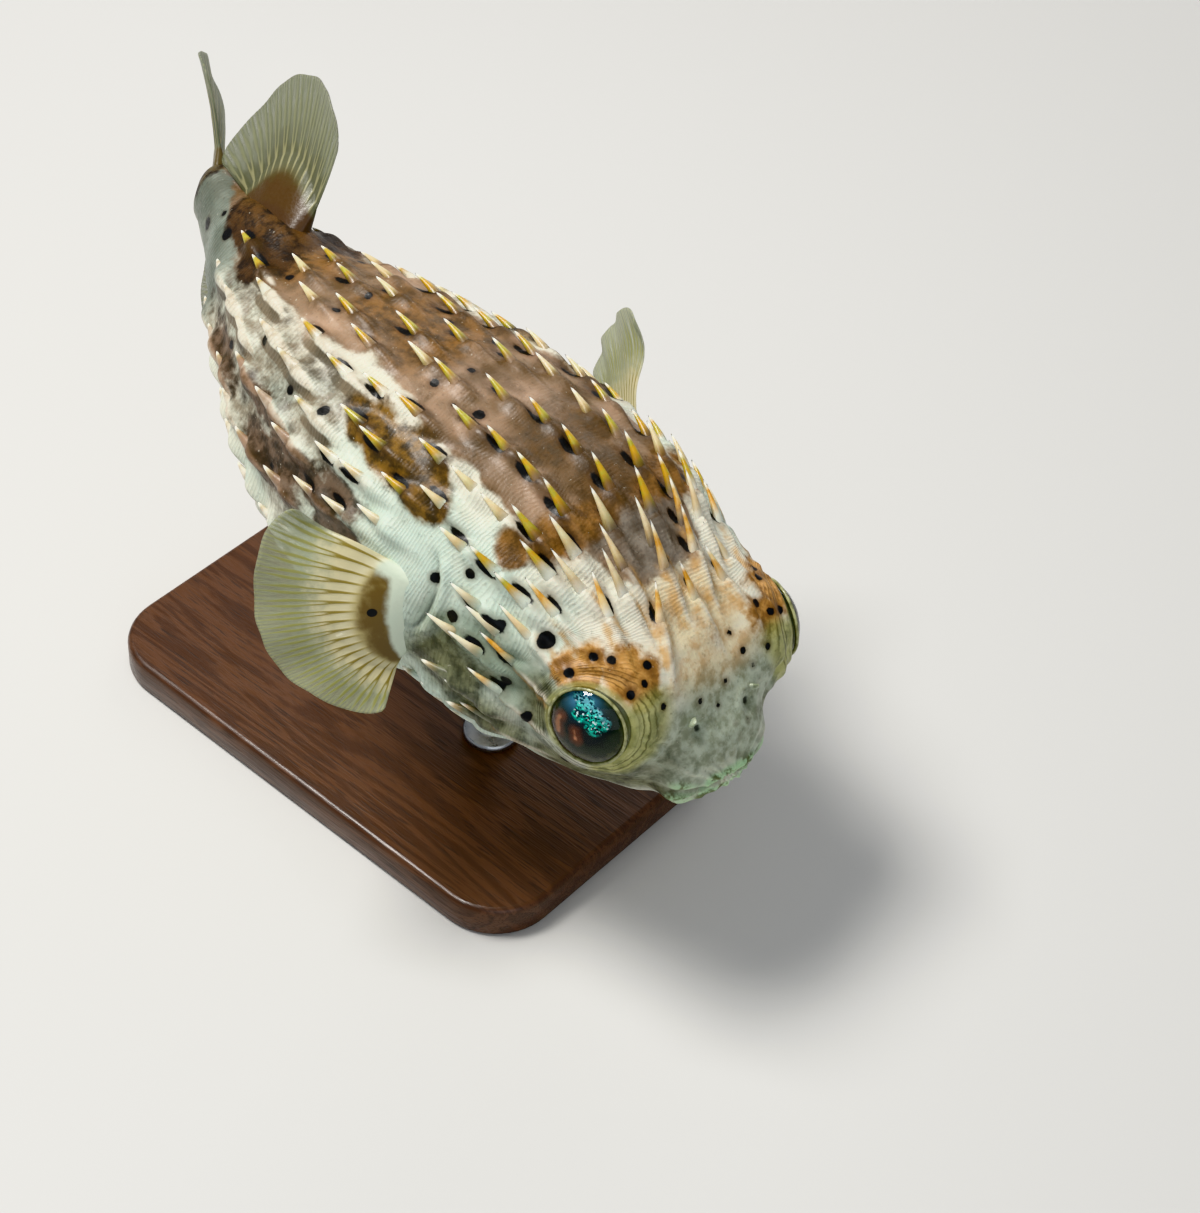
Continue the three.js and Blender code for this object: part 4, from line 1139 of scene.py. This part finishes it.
def fin_finish(name, by_body, flesh, web, rays, clear, spot_at=None):
    """The finish of a fin: fleshy root, clear web and rays. Each has a near and a far colour."""
    finish = Finish(name)
    patchy, fine = finish.noise(2.6, 3.0), finish.noise(0.7, 2.0)
    crest, reach, fleshy = (finish.carried(key) for key in ("crest", "reach", "fleshy"))
    cloudy_reach = finish.uneven(reach, patchy, 0.3)
    outward = finish.step(cloudy_reach, 0.5, 0.76)
    web, rays = (finish.mix(outward, near, far) for near, far in (web, rays))
    membrane = finish.wash(web, crest, 0.3, 0.8, 1, rays)
    inward = finish.step(finish.uneven(fleshy, patchy, 0.7), 0.45, 1.0)
    flesh = finish.mix(inward, flesh[1], flesh[0])
    cloudy_body = finish.uneven(finish.carried("bybody"), patchy, 0.5)
    flesh = finish.wash(flesh, cloudy_body, 0.25, 0.75, 1, by_body)
    shade = finish.wash(membrane, fleshy, 0.1, 0.75, 1, flesh)
    if spot_at:
        along, out, size = spot_at
        off = finish.reckon("DIVIDE", finish.reckon("SUBTRACT", finish.carried("along"), along), size)
        far = finish.reckon("DIVIDE", finish.reckon("SUBTRACT", reach, out), size)
        inside = finish.plus(finish.times(off, off), finish.times(far, far))
        shade = finish.wash(shade, inside, 1.15, 0.8, 1, SPOT_BLACK)
    body = finish.body(shade, fine, 0.3, 0.45, finish.bump(fine, 0.05), {
        "Coat Weight": 0.12, "Coat Roughness": 0.2})
    glow = finish.node("BsdfTranslucent", {"Color": shade})
    thin = finish.step(fleshy, 0.0, 0.6, 0.4, 0.0)
    solid = finish.node("MixShader", {0: thin, 1: body.outputs[0], 2: glow.outputs[0]})
    gap = finish.times(finish.step(fleshy, 0.5, 0.0), finish.step(crest, 0.75, 0.1, 0.25, 1.0))
    gap = finish.times(gap, finish.step(cloudy_reach, 0.5, 0.95, 0.35 * clear, clear))
    open_way = finish.node("BsdfTransparent", {"Color": (1, 1, 1, 1)})
    return finish.surface(finish.node("MixShader", {0: gap, 1: solid.outputs[0], 2: open_way.outputs[0]}))


def fit_fin(fin, node, material):
    fin.data.materials.append(material)
    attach(fin, "root")
    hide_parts(node)


# Pectoral fins: broad fans on upright roots, the right swept down and forward, the left raised.
PECTORAL_S, PECTORAL_LEAN, PECTORAL_TOP, PECTORAL_BOTTOM, PECTORAL_SUNK = 71, 1.5, 6, -15, 2.4
PECTORAL_RAYS = {
    "right": spread((-33, -13, 1), (-16.5, -25.5, -12), (8.5, -12, -9)),
    "left": spread((-21, 14, 26), (-27, 16, 20), (-22, 14, 15)),
}
pectoral_material = fin_finish(
    "pectoral fin", by_body="c9d3bf", flesh=("66522b", "aa9c6a"), web=("e9e1bc", "b2b79c"),
    rays=("a0904e", "a5a468"), clear=0.55, spot_at=(0.4, 0.27, 0.035))
for word, side in SIDES.items():

    def root_line(t, side=side):
        s = PECTORAL_S - PECTORAL_LEAN * t
        z = PECTORAL_TOP + (PECTORAL_BOTTOM - PECTORAL_TOP) * t
        return place(s, side * (half_width(s) - PECTORAL_SUNK), z)

    def pectoral_ruffle(t, r):
        top = bell(t, 0.17) * np.sin(r * 10 + 0.5) * 1.7 * r
        return top + 0.7 * r**2 * np.sin(t * 21 + 1) * smooth(r, 0.3, 1)

    fin = fan("pectoral_" + word, root_line, PECTORAL_RAYS[word], 17,
              lambda t: 0.26 + 0.2 * np.sin(t * math.pi) ** 0.7, 1.5, 5, 0.34, pectoral_ruffle)
    fit_fin(fin, "pectoral_fin_" + word, pectoral_material)


def midline_root(first, last, level, sunk):
    def root_line(t):
        s = first + (last - first) * t
        return place(s, 0, level(s) - sunk)

    return root_line


def shaped(rays):
    return lambda t: rays(t) * (1 - 0.06 * np.cos(t * math.pi * 2))[..., None]


def soft_wave(t, r):
    return 0.5 * r * np.sin(t * 16 + 2 * r)


# The dorsal and anal fins stand far back and lean to the left.
midline_material = fin_finish(
    "dorsal and anal fins", by_body="47311b", flesh=("4b3519", "4f4526"), web=("6f7157", "858970"),
    rays=("aaa67f", "989a7b"), clear=0.45)
dorsal = fan("dorsal", midline_root(DORSAL_FROM, DORSAL_TO, back_height, 2.5),
             shaped(spread((-6.5, 13, 25.5), (-16.5, 15, 27.5), (-22, 7, 1))), 13,
             lambda t: 0.36 + 0.1 * np.sin(t * math.pi), 1, 8, 0.34, soft_wave, 0.2)
fit_fin(dorsal, "dorsal_fin", midline_material)
anal = fan("anal", midline_root(ANAL_FROM, ANAL_TO, belly_height, -2.5),
           shaped(spread((-6, 6, -19), (-14, 8, -23), (-16, 5, -6))), 13,
           lambda t: 0.28 + 0.08 * np.sin(t * math.pi), 1, 5.5, 0.34, soft_wave, 0.2)
fit_fin(anal, "anal_fin", midline_material)

# The tail fin: a narrow rounded fan on the upright end of the tail, swung further left.
TAIL_LENGTH, TAIL_RISE, TAIL_SPREAD, TAIL_CORNER, TAIL_ROOT = 36, 0.3, 0.34, 0.72, 6
TAIL_SWING_TOP, TAIL_SWING_BOTTOM = 0.36, 0.95


def tail_root(t):
    return place(BODY_LENGTH - 1.5, 0, TAIL_ROOT * (1 - 2 * t))


def tail_ray(t):
    angle = TAIL_RISE + TAIL_SPREAD * (1 - 2 * t)
    reach = TAIL_LENGTH * (TAIL_CORNER + (1 - TAIL_CORNER) * np.sin(t * math.pi))
    level = np.cos(angle) * reach
    swing = TAIL_SWING_TOP + (TAIL_SWING_BOTTOM - TAIL_SWING_TOP) * t
    return np.stack([-np.cos(swing) * level, np.sin(swing) * level, np.sin(angle) * reach], -1)


tail_material = fin_finish(
    "tail fin", by_body="5b4f31", flesh=("5b4f31", "6d6248"), web=("6f7660", "8b917a"),
    rays=("a9a173", "9c9b7a"), clear=0.4)
tail_fin = fan("tail_fan", tail_root, tail_ray, 9, lambda t: 0.2 + 0 * t, 0.8, 3.2, 0.4, soft_wave)
fit_fin(tail_fin, "caudal_fin", tail_material)


# ---- The stand ----
# A walnut base with rounded corners, and two brushed steel rods whose cups bear the belly.
# The base is a stack of outlines; the rods are turned, and their cups are scribed to the skin.

CORNER, CORNER_STEPS = 16, 14
# The base's outlines, bottom first: height, and how far each is drawn in.
BASE_LEVELS = [(0, 0.9), (0.5, 0.3), (1.2, 0), (7.4, 0), (8.2, 0.25), (8.75, 0.75), (9, 1.5)]


def base_ring(inset, z):
    half = (base_high - base_low) / 2 / MM
    centre = (base_high + base_low) / 2 / MM
    ring = []
    for quarter, (sx, sy) in enumerate([(1, 1), (-1, 1), (-1, -1), (1, -1)]):
        for step in range(CORNER_STEPS):
            angle = (quarter + step / (CORNER_STEPS - 1)) * math.pi / 2
            x = sx * (half.x - CORNER) + math.cos(angle) * (CORNER - inset)
            y = sy * (half.y - CORNER) + math.sin(angle) * (CORNER - inset)
            ring.append((centre.x + x, centre.y + y, base_low.z / MM + z))
    return ring


def stacked(name, outlines):
    """A closed piece from level outlines, bottom first, with a flat face at each end."""
    outlines = np.array(outlines)
    count = outlines.shape[1]
    top = (len(outlines) - 1) * count
    faces = tube_faces(len(outlines), count)[:, ::-1].tolist()
    faces += [list(range(count))[::-1], list(range(top, top + count))]
    return mesh_piece(name, outlines.reshape(-1, 3) * MM, faces)


plinth = stacked("stand_plinth", [base_ring(inset, z) for z, inset in BASE_LEVELS])
for polygon in plinth.data.polygons[-2:]:
    polygon.use_smooth = False

finish = Finish("walnut")
grain = finish.node("TexNoise", {
    "Vector": finish.stretched((0.12, 1, 1)), "Scale": 130.0, "Detail": 5.0, "Distortion": 0.6})
pores = finish.node("TexNoise", {
    "Vector": finish.stretched((0.06, 1, 1)), "Scale": 2200.0, "Detail": 2.0}).outputs["Fac"]
bands = finish.reckon("SINE", finish.times(grain.outputs["Fac"], 34.0))
walnut = finish.wash("573926", bands, -0.9, 0.9, 1, "442a1a")
walnut = finish.wash(walnut, pores, 0.56, 0.68, 0.6, "20130b")
plinth.data.materials.append(finish.surface(finish.body(
    walnut, pores, 0.34, 0.5, finish.bump(pores, 0.08), {"Coat Weight": 0.3, "Coat Roughness": 0.15})))
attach(plinth, "root")
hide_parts("stand_base")

ROD_RADIUS, FOOT_RADIUS, CUP_RADIUS = 3, 7, 6.5
ROD_TURNS = 48
finish = Finish("brushed steel")
brush = finish.node("TexNoise", {
    "Vector": finish.stretched((1, 1, 14)), "Scale": 380.0, "Detail": 3.0}).outputs["Fac"]
steel = finish.wash("a9adb0", brush, 0.3, 0.7, 1, "c9ccce")
steel_material = finish.surface(finish.body(
    steel, brush, 0.24, 0.42, finish.bump(brush, 0.02), {"Metallic": 1.0}))

depsgraph = bpy.context.evaluated_depsgraph_get()
skin_tree = BVHTree.FromObject(skin, depsgraph)
for word, rod_s in zip(("front", "rear"), ROD_STATIONS):
    low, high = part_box("stand_rod_" + word)
    middle = (low + high) / 2
    foot = low.z / MM
    belly = (attitude @ place(rod_s, 0, belly_height(rod_s)) + set_down)[2]
    profile = [
        (FOOT_RADIUS - 0.4, foot), (FOOT_RADIUS, foot + 0.4), (FOOT_RADIUS, foot + 1.7),
        (FOOT_RADIUS - 0.5, foot + 2.3), (ROD_RADIUS + 0.9, foot + 2.6), (ROD_RADIUS, foot + 3.6),
        (ROD_RADIUS, belly - 9), (ROD_RADIUS + 0.4, belly - 8), (CUP_RADIUS - 0.5, belly - 5.6),
        (CUP_RADIUS, belly - 4.6),
    ]
    angles = np.arange(ROD_TURNS) / ROD_TURNS * 2 * math.pi
    spokes = np.stack([np.cos(angles), np.sin(angles)], -1)
    centre_xy = np.array([middle.x, middle.y]) / MM
    rings = [[(x, y, z) for x, y in centre_xy + radius * spokes] for radius, z in profile]
    for share in (1, 0.96, 0.6, 0.25):
        scribed = []
        for x, y in centre_xy + share * CUP_RADIUS * spokes:
            hit = skin_tree.ray_cast(Vector((x, y, foot)) * MM, Vector((0, 0, 1)))[0]
            scribed.append((x, y, hit.z / MM + (0.1 if share < 1 else -0.25)))
        rings.append(scribed)
    rod = stacked("stand_rod_steel_" + word, rings)
    rod.data.materials.append(steel_material)
    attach(rod, "root")
    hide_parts("stand_rod_" + word)


# ---- The room ----
# A plain pale floor under soft studio light: a large key from the upper left, a weaker fill
# from the right, and a pale sky. The camera looks down on the fish's back and right cheek.

FLOOR_HALF = 4.0
corners = [(x * FLOOR_HALF, y * FLOOR_HALF, 0) for x, y in ((-1, -1), (1, -1), (1, 1), (-1, 1))]
floor = mesh_piece("floor", corners, [(0, 1, 2, 3)])
finish = Finish("pale floor")
plain = finish.node("BsdfPrincipled", {"Base Color": "cfcecb", "Roughness": 0.7})
floor.data.materials.append(finish.surface(plain))

world = bpy.data.worlds.new("sky")
world.use_nodes = True
world.node_tree.nodes["Background"].inputs[0].default_value = (0.92, 0.95, 1.0, 1)
world.node_tree.nodes["Background"].inputs[1].default_value = 0.35
bpy.context.scene.world = world

fish_middle = Vector(on_stand(place(100, 0, 0)))


def soft_light(name, offset, size, power, tint):
    data = bpy.data.lights.new(name, "AREA")
    data.size, data.energy, data.color = size, power, tint
    lamp = bpy.data.objects.new(name, data)
    lamp.location = fish_middle + Vector(offset)
    lamp.rotation_euler = (-Vector(offset)).to_track_quat("-Z", "Y").to_euler()
    bpy.context.scene.collection.objects.link(lamp)


soft_light("key", (-0.3, -0.2, 0.75), 0.3, 9, (1.0, 0.98, 0.94))
soft_light("fill", (0.8, -0.5, 0.45), 0.9, 2.5, (0.9, 0.95, 1.0))
soft_light("back", (-0.3, 0.9, 0.5), 0.7, 2.5, (1.0, 0.98, 0.95))

CAMERA_AT = Vector((0.3124, -0.3310, 0.4960))
CAMERA_AIM = Vector((0.0479, 0.0088, 0.0633))
CAMERA_ROLL = math.radians(4.75)
lens = bpy.data.cameras.new("camera")
lens.lens, lens.sensor_width = 79.5, 36
lens.clip_start, lens.clip_end = 0.01, 50
camera = bpy.data.objects.new("camera", lens)
turned_to = (CAMERA_AIM - CAMERA_AT).to_track_quat("-Z", "Y").to_matrix()
rolled = turned_to @ Matrix.Rotation(CAMERA_ROLL, 3, "Z")
camera.matrix_world = Matrix.Translation(CAMERA_AT) @ rolled.to_4x4()
bpy.context.scene.collection.objects.link(camera)
bpy.context.scene.camera = camera
bpy.context.scene.view_settings.view_transform = "Khronos PBR Neutral"
